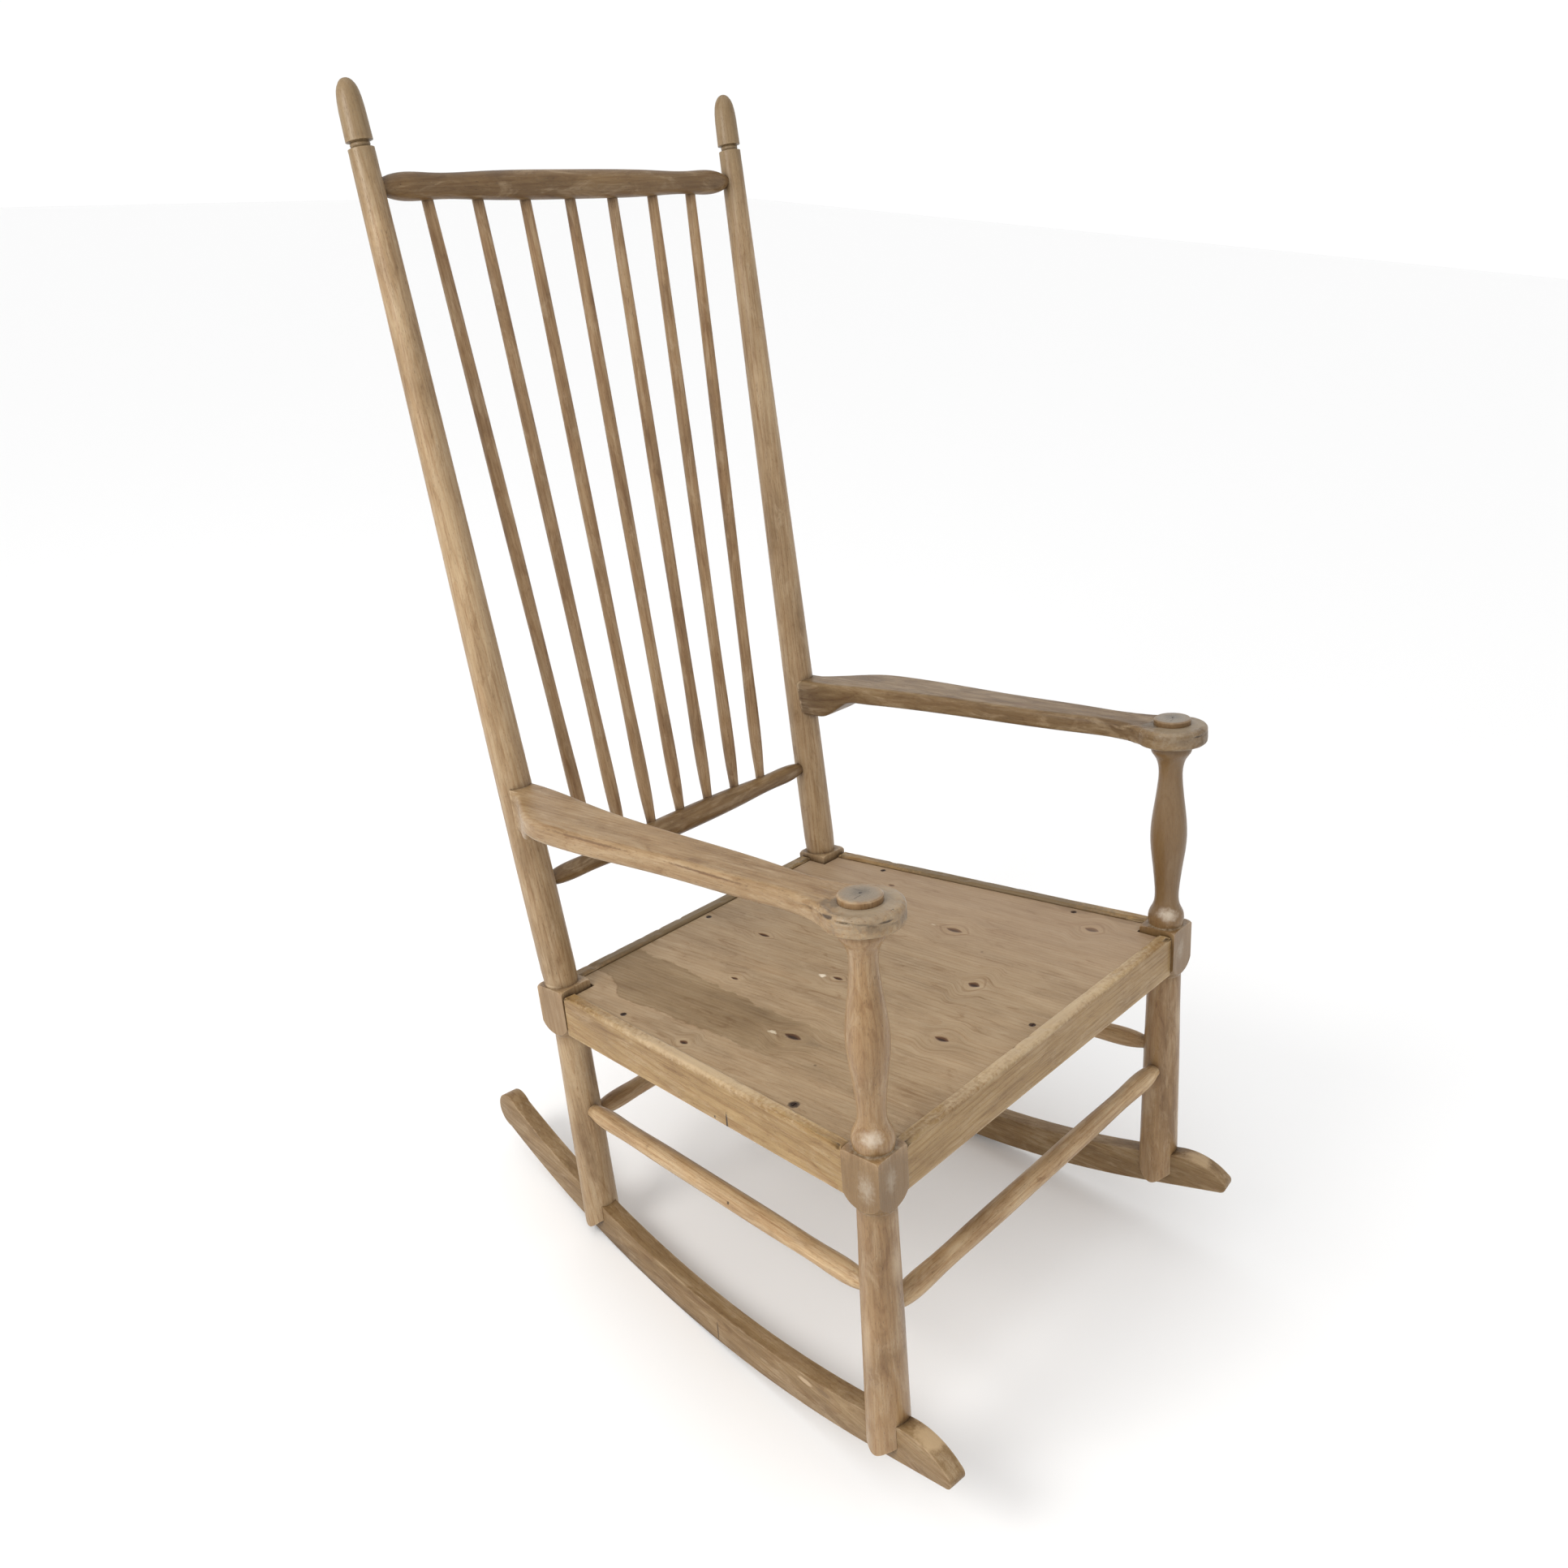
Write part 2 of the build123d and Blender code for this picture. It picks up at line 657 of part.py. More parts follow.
def spindle_axis(place):
    """The two ends of a spindle's centre line, at the heights of the lower rail and of the crest."""
    behind = BACK_RAIL_BEHIND_POST + SPINDLE_BEHIND_RAIL
    foot = upper_axis(LOWER_RAIL_Z)
    top = upper_axis(CREST_Z)
    return (
        Vector(place * SPINDLE_FOOT_PITCH, foot.Y + behind, foot.Z),
        Vector(place * SPINDLE_TOP_PITCH, top.Y + behind, top.Z),
    )


def spindle(place, clearance=0.0):
    """A back spindle, place counted from the middle one. Its ends stop short of both rails' centres."""
    foot, top = spindle_axis(place)
    length = (top - foot).length
    radius = SPINDLE_END_RADIUS
    stop = 0.5
    clear_foot = LOWER_RAIL_RADIUS + 1
    clear_top = length - CREST_RADIUS - 1
    if clearance:
        hole = Cylinder(radius + clearance, length - 2 * (stop - TENON_END_GAP))
        return frame_on(foot, top) * Pos(0, 0, length / 2) * hole
    body = lathe(
        [(stop, radius - 0.6), (stop + 0.6, radius)],
        [(stop + 0.6, radius), (clear_foot, radius)],
        [
            (clear_foot, radius),
            (clear_foot + 16, SPINDLE_RADIUS - 0.4),
            (length * 0.2, SPINDLE_RADIUS),
            (length * 0.5, SPINDLE_RADIUS + 0.1),
            (length * 0.8, SPINDLE_RADIUS - 0.5),
            (clear_top - 30, radius + 0.3),
            (clear_top, radius),
        ],
        [(clear_top, radius), (length - stop - 0.6, radius)],
        [(length - stop - 0.6, radius), (length - stop, radius - 0.6)],
    )
    return frame_on(foot, top) * body


def spindle_places():
    return [index - (SPINDLES - 1) / 2 for index in range(SPINDLES)]


def crest_rail():
    rail = crest_rail_body()
    for place in spindle_places():
        rail -= spindle(place, HOLE_CLEARANCE)
    return rail


def lower_back_rail():
    rail = lower_rail_body()
    for place in spindle_places():
        rail -= spindle(place, HOLE_CLEARANCE)
    return rail


def arm_plan():
    """The outline of the right arm seen from above."""
    centre = FRONT_POST_X - 1
    rear = upper_axis(ARM_TOP - ARM_THICKNESS / 2)
    inner_rear = rear.X - ARM_REAR_WIDTH / 2
    outer_rear = rear.X + ARM_REAR_WIDTH / 2
    rear_y = rear.Y
    half = ARM_WAIST / 2
    widest = BLOCK_Y * 0.78
    inner_wide = centre + 29.5 - ARM_WIDTH
    outer_wide = centre + 29.5
    end = ARM_END_RADIUS
    inner = Spline(
        (inner_rear, rear_y),
        (inner_rear + 1, rear_y - 40),
        (inner_wide + 1, widest),
        (centre - half - 7, BLOCK_Y * 0.45),
        (centre - half - 2, BLOCK_Y * 0.22),
        (centre - half, 56),
        (centre - end * 0.80, end * 0.60),
    )
    nose = ThreePointArc(
        (centre - end * 0.80, end * 0.60),
        (centre, -end),
        (centre + end * 0.80, end * 0.60),
    )
    outer = Spline(
        (centre + end * 0.80, end * 0.60),
        (centre + half + 0.5, 58),
        (centre + half + 1.5, BLOCK_Y * 0.22),
        (centre + half + 3.5, BLOCK_Y * 0.45),
        (outer_wide - 1, BLOCK_Y * 0.65),
        (outer_wide, widest),
        (outer_wide - 5, BLOCK_Y * 0.865),
        (outer_rear + 18, BLOCK_Y * 0.955),
        (outer_rear, rear_y - 12),
    )
    back = Line((outer_rear, rear_y - 12), (outer_rear, rear_y))
    across = Line((outer_rear, rear_y), (inner_rear, rear_y))
    return [inner, nose, outer, back, across]


def arm_side():
    """The arm in side view, Y against Z: deep at the back post, sweeping up to its usual thickness."""
    rear_y = upper_axis(ARM_TOP).Y + 10
    foot = ARM_TOP - ARM_THICKNESS
    deep = ARM_TOP - ARM_REAR_DEPTH
    sweep = rear_y - 50
    stout = foot - 4
    underside = Spline(
        (sweep, deep),
        (sweep - 12, deep + 2.5),
        (sweep - 38, stout - 3),
        (sweep - 75, stout),
        tangents=[(-1, 0), (-1, 0.012)],
    )
    return [
        Line((-60, ARM_TOP), (rear_y, ARM_TOP - 4)),
        Line((rear_y, ARM_TOP - 4), (rear_y, deep)),
        Line((rear_y, deep), (sweep, deep)),
        underside,
        Line((sweep - 75, stout), (60, foot)),
        Line((60, foot), (-60, foot)),
        Line((-60, foot), (-60, ARM_TOP)),
    ]


def arm_right():
    slab = extrude(Pos(0, 0, ARM_TOP - 80) * make_face(arm_plan()), 120)
    side = extrude(Plane.YZ * make_face(arm_side()), 600)
    arm = slab & side
    arm = fillet(arm_top_edges(arm), ARM_TOP_EDGE)
    arm = fillet(arm_low_edges(arm), ARM_LOW_EDGE)
    arm -= arm_saddle()
    hole = Cylinder(TENON_RADIUS + HOLE_CLEARANCE, 200)
    arm -= Pos(FRONT_POST_X, 0, ARM_TOP) * hole
    arm -= arm_front_pin(HOLE_CLEARANCE)
    arm -= arm_dowel(HOLE_CLEARANCE)
    return arm


def arm_top_edges(arm):
    """The edges round the top of the arm, all but the cut one at its rear end."""
    floor = ARM_TOP - 4.4
    return [edge for edge in arm.edges() if edge.center().Z > floor and edge.center().Y < BLOCK_Y - 20]


def arm_low_edges(arm):
    """The long edges along the underside of the arm, from the round end to where it deepens."""
    foot = ARM_TOP - ARM_THICKNESS
    return [
        edge
        for edge in arm.edges()
        if foot - 5 < edge.center().Z < foot + 0.5 and edge.length > 60 and edge.center().Y < BLOCK_Y * 0.85
    ]


def arm_saddle():
    """The hollow across the arm's rear end that fits round the back post, a little wider than the post."""
    start, end = upper_axis(ARM_TOP - 90), upper_axis(ARM_TOP + 40)
    length = (end - start).length
    hollow = Cylinder(POST_RADIUS_AT_ARM + SADDLE_CLEARANCE, length)
    return frame_on(start, end) * Pos(0, 0, length / 2) * hollow


def arm_dowel(clearance=0.0):
    """The dowel that runs from the deep rear end of the right arm into the back post."""
    z = ARM_TOP - ARM_REAR_DEPTH * 0.52
    at = upper_axis(z)
    length = DOWEL_LENGTH + 2 * (TENON_END_GAP if clearance else 0)
    middle = Vector(at.X, at.Y - DOWEL_BEFORE_POST, z)
    rod = Cylinder(DOWEL_RADIUS + clearance, length)
    return Location(Plane(origin=middle, z_dir=(0, 1, 0))) * rod


def arm_front_pin(clearance=0.0):
    """The pin that runs through the right arm's round end and the post's tenon, from inside."""
    z = ARM_TOP - ARM_THICKNESS / 2
    length = ARM_PIN_LENGTH + (TENON_END_GAP if clearance else 0)
    start = FRONT_POST_X - ARM_END_RADIUS + 3 + length / 2
    rod = Cylinder(ARM_PIN_RADIUS + clearance, length)
    return Location(Plane(origin=(start, 0, z), z_dir=(1, 0, 0))) * rod


def make_parts():
    """Every piece of the chair in the seat frame, by name."""
    parts = {}
    for name, build in (
        ("rocker", rocker_right),
        ("front_post", front_post_right),
        ("back_post", back_post_right),
        ("arm", arm_right),
        ("side_rail", side_rail_right),
        ("side_stretcher", side_stretcher_right),
        ("front_leg_pin", lambda: leg_pin(front_axis)),
        ("back_leg_pin", lambda: leg_pin(lower_axis)),
        ("arm_dowel", arm_dowel),
        ("arm_pin", arm_front_pin),
    ):
        right = build()
        parts[name + "_right"] = right
        parts[name + "_left"] = mirrored(right)
    parts["crest_rail"] = crest_rail()
    parts["lower_back_rail"] = lower_back_rail()
    for number, place in enumerate(spindle_places(), start=1):
        parts[f"back_spindle_{number}"] = spindle(place)
    parts["front_rail"] = front_rail()
    parts["rear_rail"] = rear_rail()
    parts["front_stretcher"] = front_stretcher()
    parts["rear_stretcher"] = rear_stretcher()
    parts["seat_panel"] = seat_panel()
    for name, bar in battens().items():
        parts["seat_batten_" + name] = bar
    for number, (x, y) in enumerate(screw_places(), start=1):
        parts[f"seat_screw_{number}"] = screw_at(x, y)
    return parts


def rest_lean(parts):
    """How far the empty chair leans back, in degrees: its centre of mass comes under the rocker centre."""
    volume = sum(part.volume for part in parts.values())
    y = sum(part.center(CenterOf.MASS).Y * part.volume for part in parts.values()) / volume
    z = sum(part.center(CenterOf.MASS).Z * part.volume for part in parts.values()) / volume
    centre_y = ROCKER_BOTTOM_AT * rocker_plane().x_dir.Y
    return math.degrees(math.atan2(y - centre_y, ROCKER_RADIUS - z)), (y, z)


parts = make_parts()
lean, mass_centre = rest_lean(parts)
leaned = {name: Rot(-lean, 0, 0) * part for name, part in parts.items()}
boxes = [part.bounding_box() for part in leaned.values()]
low = [min(getattr(box.min, axis) for box in boxes) for axis in "XYZ"]
high = [max(getattr(box.max, axis) for box in boxes) for axis in "XYZ"]
home = Pos(-(low[0] + high[0]) / 2, -(low[1] + high[1]) / 2, -low[2])

os.makedirs("parts", exist_ok=True)
for name, part in leaned.items():
    export_step(home * part, f"parts/{name}.step")

print("lean", round(lean, 3), "mass centre in the seat frame", [round(value, 1) for value in mass_centre])
print("size", [round(top - bottom, 2) for bottom, top in zip(low, high)])
print("home", [round(-(low[0] + high[0]) / 2, 3), round(-(low[1] + high[1]) / 2, 3), round(-low[2], 3)])
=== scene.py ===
import json
import math

import bmesh
import bpy
import numpy as np
from mathutils import Matrix, Vector, noise


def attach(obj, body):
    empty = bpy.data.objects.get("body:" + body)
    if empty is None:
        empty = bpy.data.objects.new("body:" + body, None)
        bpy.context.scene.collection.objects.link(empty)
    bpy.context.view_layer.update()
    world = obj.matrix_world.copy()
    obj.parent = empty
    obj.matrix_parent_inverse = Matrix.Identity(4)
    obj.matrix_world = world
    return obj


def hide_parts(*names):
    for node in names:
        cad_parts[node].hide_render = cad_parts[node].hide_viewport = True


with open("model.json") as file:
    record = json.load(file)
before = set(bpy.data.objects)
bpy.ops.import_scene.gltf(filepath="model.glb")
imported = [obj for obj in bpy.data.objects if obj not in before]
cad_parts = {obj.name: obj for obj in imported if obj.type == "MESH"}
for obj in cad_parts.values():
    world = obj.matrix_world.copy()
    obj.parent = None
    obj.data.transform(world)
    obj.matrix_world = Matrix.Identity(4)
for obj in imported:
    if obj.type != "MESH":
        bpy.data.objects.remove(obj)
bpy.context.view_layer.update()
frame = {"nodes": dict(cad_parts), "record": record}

# ------------------------------------------------------------------------------------------------
# Front posts. Each is one piece of beech turned from the foot to the tenon that stands through the
# arm, left square at seat height for the rails. The old finish was stripped off and the wood waxed,
# so it shows its pores and is paler where it is rubbed. Its corners are darker with painted shade and some
# grime.
# ------------------------------------------------------------------------------------------------

# The chair leans back on its rockers. These are its own directions: across, to the back, and up.
across = Vector((1, 0, 0))
up = Vector(frame["record"]["mounts"][0]["axis"]).normalized()
back = up.cross(across)


def seat_place(x, y, z):
    """A room position from a place measured along the chair's own directions."""
    return across * x + back * y + up * z


def reach(name):
    """The lowest and highest place of a wooden part, measured along the chair's own directions."""
    places = [(v.co.x, v.co.dot(back), v.co.dot(up)) for v in frame["nodes"][name].data.vertices]
    return Vector(np.min(places, axis=0)), Vector(np.max(places, axis=0))


def middle_of(name):
    low, high = reach(name)
    return seat_place(*((low + high) / 2))


def grain_of(name):
    """The direction a part's grain runs: the way the part is longest."""
    places = np.array([v.co for v in frame["nodes"][name].data.vertices])
    spread = np.cov((places - places.mean(axis=0)).T)
    return Vector(np.linalg.eigh(spread)[1][:, 2])


def shade(red, green, blue):
    """A wood colour as it is seen, from 0 to 255, made ready for a shader."""
    steps = [part / 255 for part in (red, green, blue)]
    return tuple(s / 12.92 if s <= 0.04045 else ((s + 0.055) / 1.055) ** 2.4 for s in steps) + (1,)


def add(tree, kind, sockets=None, **settings):
    """One shader node. Sockets are given as values, or as another node's output to link."""
    made = tree.nodes.new("ShaderNode" + kind)
    for name, value in settings.items():
        setattr(made, name, value)
    for name, value in (sockets or {}).items():
        if isinstance(value, bpy.types.NodeSocket):
            tree.links.new(value, made.inputs[name])
        else:
            made.inputs[name].default_value = value
    return made


def sums(tree, how, first, second=0.0):
    """One step of arithmetic on two values."""
    return add(tree, "Math", {0: first, 1: second}, operation=how).outputs[0]


def spread_out(tree, value, low, high, start=0.0, end=1.0, smooth=True):
    """Where value passes from low to high, the result passes from start to end."""
    sockets = {"Value": value, "From Min": low, "From Max": high, "To Min": start, "To Max": end}
    kind = "SMOOTHSTEP" if smooth else "LINEAR"
    return add(tree, "MapRange", sockets, interpolation_type=kind).outputs["Result"]


def tint(tree, how, amount, under, over):
    """Lays the colour over on the colour under."""
    return add(tree, "Mix", {0: amount, 6: under, 7: over}, data_type="RGBA", blend_type=how).outputs[2]


def cloud(tree, place, wide, long, seed, detail=2.0, rough=0.5, bend=0.0):
    """Unevenness drawn out along the grain: patches about wide across the grain and long along it."""
    sockets = {
        "Vector": place,
        "Scale": (1 / wide, 1 / wide, 1 / long),
        "Location": (seed * 7.3, seed * 3.1, seed * 5.7),
    }
    stretched = add(tree, "Mapping", sockets).outputs[0]
    sockets = {"Vector": stretched, "Scale": 1.0, "Detail": detail, "Roughness": rough, "Distortion": bend}
    return add(tree, "TexNoise", sockets).outputs["Fac"]


def mark_here(tree, place, wander, spot):
    """How much a mark covers this point: 1 at its middle, 0 outside. It is an egg with a ragged rim.

    The egg lies along the chair's own directions. Soft is the share of it that fades, ragged how far it strays.
    """
    middle, size, soft, ragged = spot
    off = add(tree, "VectorMath", {0: place, 1: middle}, operation="SUBTRACT").outputs[0]
    lean = math.atan2(up.y, up.z)
    level = add(tree, "Mapping", {"Vector": off, "Rotation": (lean, 0, 0)}).outputs[0]
    egg = add(tree, "VectorMath", {0: level, 1: size}, operation="DIVIDE").outputs[0]
    shaken = add(tree, "VectorMath", {0: wander, "Scale": ragged}, operation="SCALE").outputs[0]
    egg = add(tree, "VectorMath", {0: egg, 1: shaken}, operation="ADD").outputs[0]
    far = add(tree, "VectorMath", {0: egg}, operation="LENGTH").outputs["Value"]
    return spread_out(tree, far, 1.0, 1.0 - soft)


def round_knots(tree, along, knots):
    """The grain parts round each knot. Returns it bent so, and how far out a point is: 1 at an eye's rim.

    Each knot is (middle, width across the grain, length along it), an eye drawn out to points along the grain.
    """
    eye = None
    shift = None
    for middle, wide, long in knots:
        off = add(tree, "VectorMath", {0: along, 1: middle}, operation="SUBTRACT").outputs[0]
        parts = add(tree, "SeparateXYZ", {0: off})
        aside = parts.outputs["X"]
        ahead = sums(tree, "ABSOLUTE", sums(tree, "DIVIDE", parts.outputs["Z"], long))
        ahead = sums(tree, "POWER", ahead, 2.0)
        out = sums(tree, "ADD", sums(tree, "DIVIDE", sums(tree, "ABSOLUTE", aside), wide), ahead)
        pull = sums(tree, "MULTIPLY", aside, spread_out(tree, out, 14.0, 0.5, 0, -0.82))
        eye = out if eye is None else sums(tree, "MINIMUM", eye, out)
        shift = pull if shift is None else sums(tree, "ADD", shift, pull)
    bent = add(tree, "CombineXYZ", {"X": shift}).outputs[0]
    return add(tree, "VectorMath", {0: along, 1: bent}, operation="ADD").outputs[0], eye


def wood(name, grain, middle, tones, seed, streak, wear, shade_and_dirt, pores, rings, gloss, marks=(), knots=()):
    """A stripped and waxed wood. Tones are its dark, usual and pale colour; marks lie on top.

    From streak to gloss each is how strong that trait is, 0 to 1. Wear is on rubbed edges;
    corners, joints and undersides get painted shade with some grime.
    Each mark is (colour, amount, depth in metres, (middle, size, soft, ragged)).
    """
    finish = bpy.data.materials.new(name)
    finish.use_nodes = True
    tree = finish.node_tree
    tree.nodes.clear()
    place = add(tree, "TexCoord").outputs["Object"]
    turn = Vector(grain).rotation_difference(Vector((0, 0, 1)))
    sockets = {"Vector": place, "Rotation": turn.to_euler(), "Location": -(turn @ Vector(middle))}
    along = add(tree, "Mapping", sockets).outputs[0]
    if knots:
        knots = [(turn @ (at - Vector(middle)), wide, long) for at, wide, long in knots]
        along, eye = round_knots(tree, along, knots)

    broad = cloud(tree, along, 0.022, 0.16, seed, 3.0, 0.55, 0.4)
    patches = cloud(tree, along, 0.05, 0.11, seed + 1, 3.0, 0.6, 0.8)
    fine = cloud(tree, along, 0.0022, 0.07, seed + 2, 3.0, 0.6, 0.1)
    lines = cloud(tree, along, 0.0007, 0.03, seed + 3, 2.0, 0.5)
    speck = cloud(tree, along, 0.00045, 0.0045, seed + 4, 1.0, 0.5)

    dark, usual, pale = tones
    tone = sums(tree, "ADD", sums(tree, "MULTIPLY", broad, 0.55), sums(tree, "MULTIPLY", patches, 0.45))
    colour = tint(tree, "MIX", spread_out(tree, tone, 0.30, 0.54), dark, usual)
    colour = tint(tree, "MIX", spread_out(tree, tone, 0.48, 0.72), colour, pale)
    # Where the old finish never quite came off, the wood is washed out to a dull grey brown
    smudge = cloud(tree, along, 0.013, 0.045, seed + 6, 4.0, 0.65, 0.9)
    washed = sums(tree, "MULTIPLY", spread_out(tree, smudge, 0.47, 0.68), 0.55)
    colour = tint(tree, "MIX", washed, colour, tint(tree, "MIX", 0.55, pale, shade(168, 149, 122)))
    colour = tint(tree, "MULTIPLY", spread_out(tree, smudge, 0.45, 0.28, 0, 0.55), colour, shade(204, 184, 160))

    # Year rings: the piece was cut some way from the heart of the tree, so they run as long flames
    sockets = {"Vector": along, "Location": (0.055, 0.021, seed * 0.3), "Rotation": (0.03, 0.05, 0)}
    heart = add(tree, "Mapping", sockets).outputs[0]
    sockets = {"Vector": heart, "Scale": 62.0, "Distortion": 2.2, "Detail": 2.0, "Detail Scale": 0.35}
    flames = {"wave_type": "RINGS", "rings_direction": "Z", "wave_profile": "SAW"}
    ring = add(tree, "TexWave", sockets, **flames).outputs["Fac"]
    edge_of_ring = sums(tree, "MULTIPLY", spread_out(tree, ring, 0.55, 1.0), rings)
    colour = tint(tree, "MULTIPLY", edge_of_ring, colour, shade(226, 208, 188))

    # Fine streaks, dark and pale, then hair lines and open pores
    dark_streak = spread_out(tree, fine, 0.58, 0.28, 0, streak * 0.75)
    colour = tint(tree, "MULTIPLY", dark_streak, colour, shade(212, 192, 170))
    pale_streak = spread_out(tree, fine, 0.52, 0.80, 0, streak * 0.4)
    colour = tint(tree, "SCREEN", pale_streak, colour, shade(66, 61, 54))
    hair_line = spread_out(tree, lines, 0.48, 0.26, 0, streak * 0.6)
    colour = tint(tree, "MULTIPLY", hair_line, colour, shade(200, 176, 150))
    pit = spread_out(tree, speck, 0.38, 0.26, 0, pores)
    colour = tint(tree, "MULTIPLY", pit, colour, shade(120, 92, 66))

    # Rubbed edges go pale; corners, joints and undersides get painted shade from ambient occlusion, with some
    # grime
    rounded = add(tree, "Bevel", {"Radius": 0.0032}, samples=4).outputs[0]
    facing = add(tree, "NewGeometry").outputs["Normal"]
    bend = add(tree, "VectorMath", {0: rounded, 1: facing}, operation="DOT_PRODUCT").outputs["Value"]
    rubbed = spread_out(tree, bend, 0.990, 0.88)
    rubbed = sums(tree, "MULTIPLY", rubbed, spread_out(tree, smudge, 0.40, 0.60, 0.12 * wear, wear))
    colour = tint(tree, "MIX", rubbed, colour, shade(186, 162, 130))
    # Painted shade: ambient occlusion darkens the wood in corners, joints and undersides
    hidden = add(tree, "AmbientOcclusion", {"Distance": 0.014}, samples=6).outputs["AO"]
    shade_and_grime_mask = spread_out(tree, hidden, 0.86, 0.32, 0, shade_and_dirt)
    colour = tint(tree, "MULTIPLY", shade_and_grime_mask, colour, shade(92, 68, 48))

    # A knot: a pale halo, a brown line round it, and a dark eye with a nearly black heart
    if knots:
        halo = sums(tree, "MULTIPLY", spread_out(tree, eye, 1.0, 1.6), spread_out(tree, eye, 6.5, 3.0))
        colour = tint(tree, "MIX", sums(tree, "MULTIPLY", halo, 0.16), colour, shade(186, 162, 128))
        line = sums(tree, "MULTIPLY", spread_out(tree, eye, 3.0, 3.6), spread_out(tree, eye, 4.8, 4.0))
        line = sums(tree, "MULTIPLY", line, spread_out(tree, patches, 0.45, 0.6, 0.05, 0.4))
        colour = tint(tree, "MULTIPLY", line, colour, shade(176, 146, 114))
        colour = tint(tree, "MIX", spread_out(tree, eye, 1.5, 0.9, 0, 0.95), colour, shade(84, 54, 34))
        colour = tint(tree, "MIX", spread_out(tree, eye, 0.75, 0.35, 0, 0.8), colour, shade(40, 28, 20))

    # The surface's own height in metres, which the marks then sink into
    height = sums(tree, "ADD", sums(tree, "MULTIPLY", fine, 0.00022), sums(tree, "MULTIPLY", lines, 0.00010))
    height = sums(tree, "SUBTRACT", height, sums(tree, "MULTIPLY", pit, 0.00022))
    height = sums(tree, "ADD", height, sums(tree, "MULTIPLY", patches, 0.0006))
    if marks:
        shaking = {"Vector": place, "Scale": 240.0, "Detail": 3.0, "Roughness": 0.6}
        shaken = add(tree, "TexNoise", shaking).outputs["Color"]
        wander = add(tree, "VectorMath", {0: shaken, 1: (0.5, 0.5, 0.5)}, operation="SUBTRACT").outputs[0]
    for stain, amount, depth, spot in marks:
        cover = sums(tree, "MULTIPLY", mark_here(tree, place, wander, spot), amount)
        colour = tint(tree, "MIX", cover, colour, stain)
        if depth:
            height = sums(tree, "SUBTRACT", height, sums(tree, "MULTIPLY", cover, depth))

    rough = spread_out(tree, fine, 0.3, 0.7, 0.66 - 0.34 * gloss, 0.52 - 0.30 * gloss, smooth=False)
    bumps = add(tree, "Bump", {"Height": height, "Strength": 0.8, "Distance": 1.0}).outputs[0]
    skin = add(tree, "BsdfPrincipled", {"Base Color": colour, "Roughness": rough, "Normal": bumps})
    skin.inputs["Specular IOR Level"].default_value = 0.12 + 0.4 * gloss
    add(tree, "OutputMaterial", {"Surface": skin.outputs[0]})
    return finish


def placed(rows, at):
    """Marks for wood(), from rows of colour, amount, depth, place, size, soft and ragged.

    At turns a row's place into a place in the room.
    """
    return [(colour, amount, depth, (at(*place), *spot)) for colour, amount, depth, place, *spot in rows]


def dress(name, finish):
    """Gives a wooden part its finish, in place of the plain one it came with."""
    mesh = frame["nodes"][name].data
    mesh.materials.clear()
    mesh.materials.append(finish)


brown_beech = (shade(120, 92, 59), shade(146, 116, 79), shade(166, 137, 100))
black_line = shade(52, 38, 28)
rubbed_pale = shade(196, 174, 144)
worn_white = shade(184, 172, 154)
end_grain_crack = shade(80, 68, 54)

# Heights above a block's top: a brown block, its pale shoulder, a painted highlight on the ball at the foot
# of the turning, and two streaks rubbed white on the block
block_marks = [
    (shade(112, 86, 50), 0.7, 0, (0, 0, -0.030), (0.05, 0.05, 0.042), 0.4, 0.4),
    (shade(204, 188, 164), 0.7, 0, (0, 0, 0.0005), (0.023, 0.023, 0.0022), 0.5, 0.6),
    # A painted highlight on the left front of the ball at the foot of the turning
    (shade(198, 184, 166), 0.75, 0, (-0.012, -0.008, 0.016), (0.012, 0.014, 0.010), 0.9, 0.9),
    (worn_white, 0.45, 0, (-0.019, -0.006, -0.030), (0.004, 0.012, 0.022), 0.9, 1.1),
    (worn_white, 0.35, 0, (-0.004, -0.019, -0.024), (0.010, 0.004, 0.018), 0.9, 1.1),
]
# Heights above the foot of the leg, where shoes rub
leg_marks = [
    (rubbed_pale, 0.40, 0, (0, -0.018, 0.21), (0.010, 0.008, 0.03), 0.9, 0.5),
    (rubbed_pale, 0.35, 0, (-0.018, 0.004, 0.12), (0.006, 0.010, 0.05), 0.9, 0.5),
]
# On the tenon's end: grey end grain, darker in the middle, with the lathe's centre hole and two cracks
tenon_marks = [
    (shade(120, 109, 93), 0.85, 0, (0, 0, 0), (0.0225, 0.0225, 0.0026), 0.5, 0.3),
    (shade(88, 79, 66), 0.75, 0.0003, (0.002, 0.001, 0), (0.0125, 0.0120, 0.0022), 0.9, 0.7),
    (shade(60, 50, 40), 0.9, 0.0006, (0.001, 0.000, 0), (0.0017, 0.0017, 0.003), 0.4, 0.6),
    (end_grain_crack, 0.8, 0.0004, (0.004, 0.006, 0), (0.0006, 0.0070, 0.003), 0.5, 0.5),
    (end_grain_crack, 0.8, 0.0004, (-0.007, -0.003, 0), (0.0060, 0.0006, 0.003), 0.5, 0.5),
]
# The right post's turning is darker all over: painted shade, as the light falls off towards the right
shaded_right_turning = [(shade(100, 76, 46), 0.75, 0, (0, 0, 0.120), (0.06, 0.06, 0.150), 0.3, 0.3)]

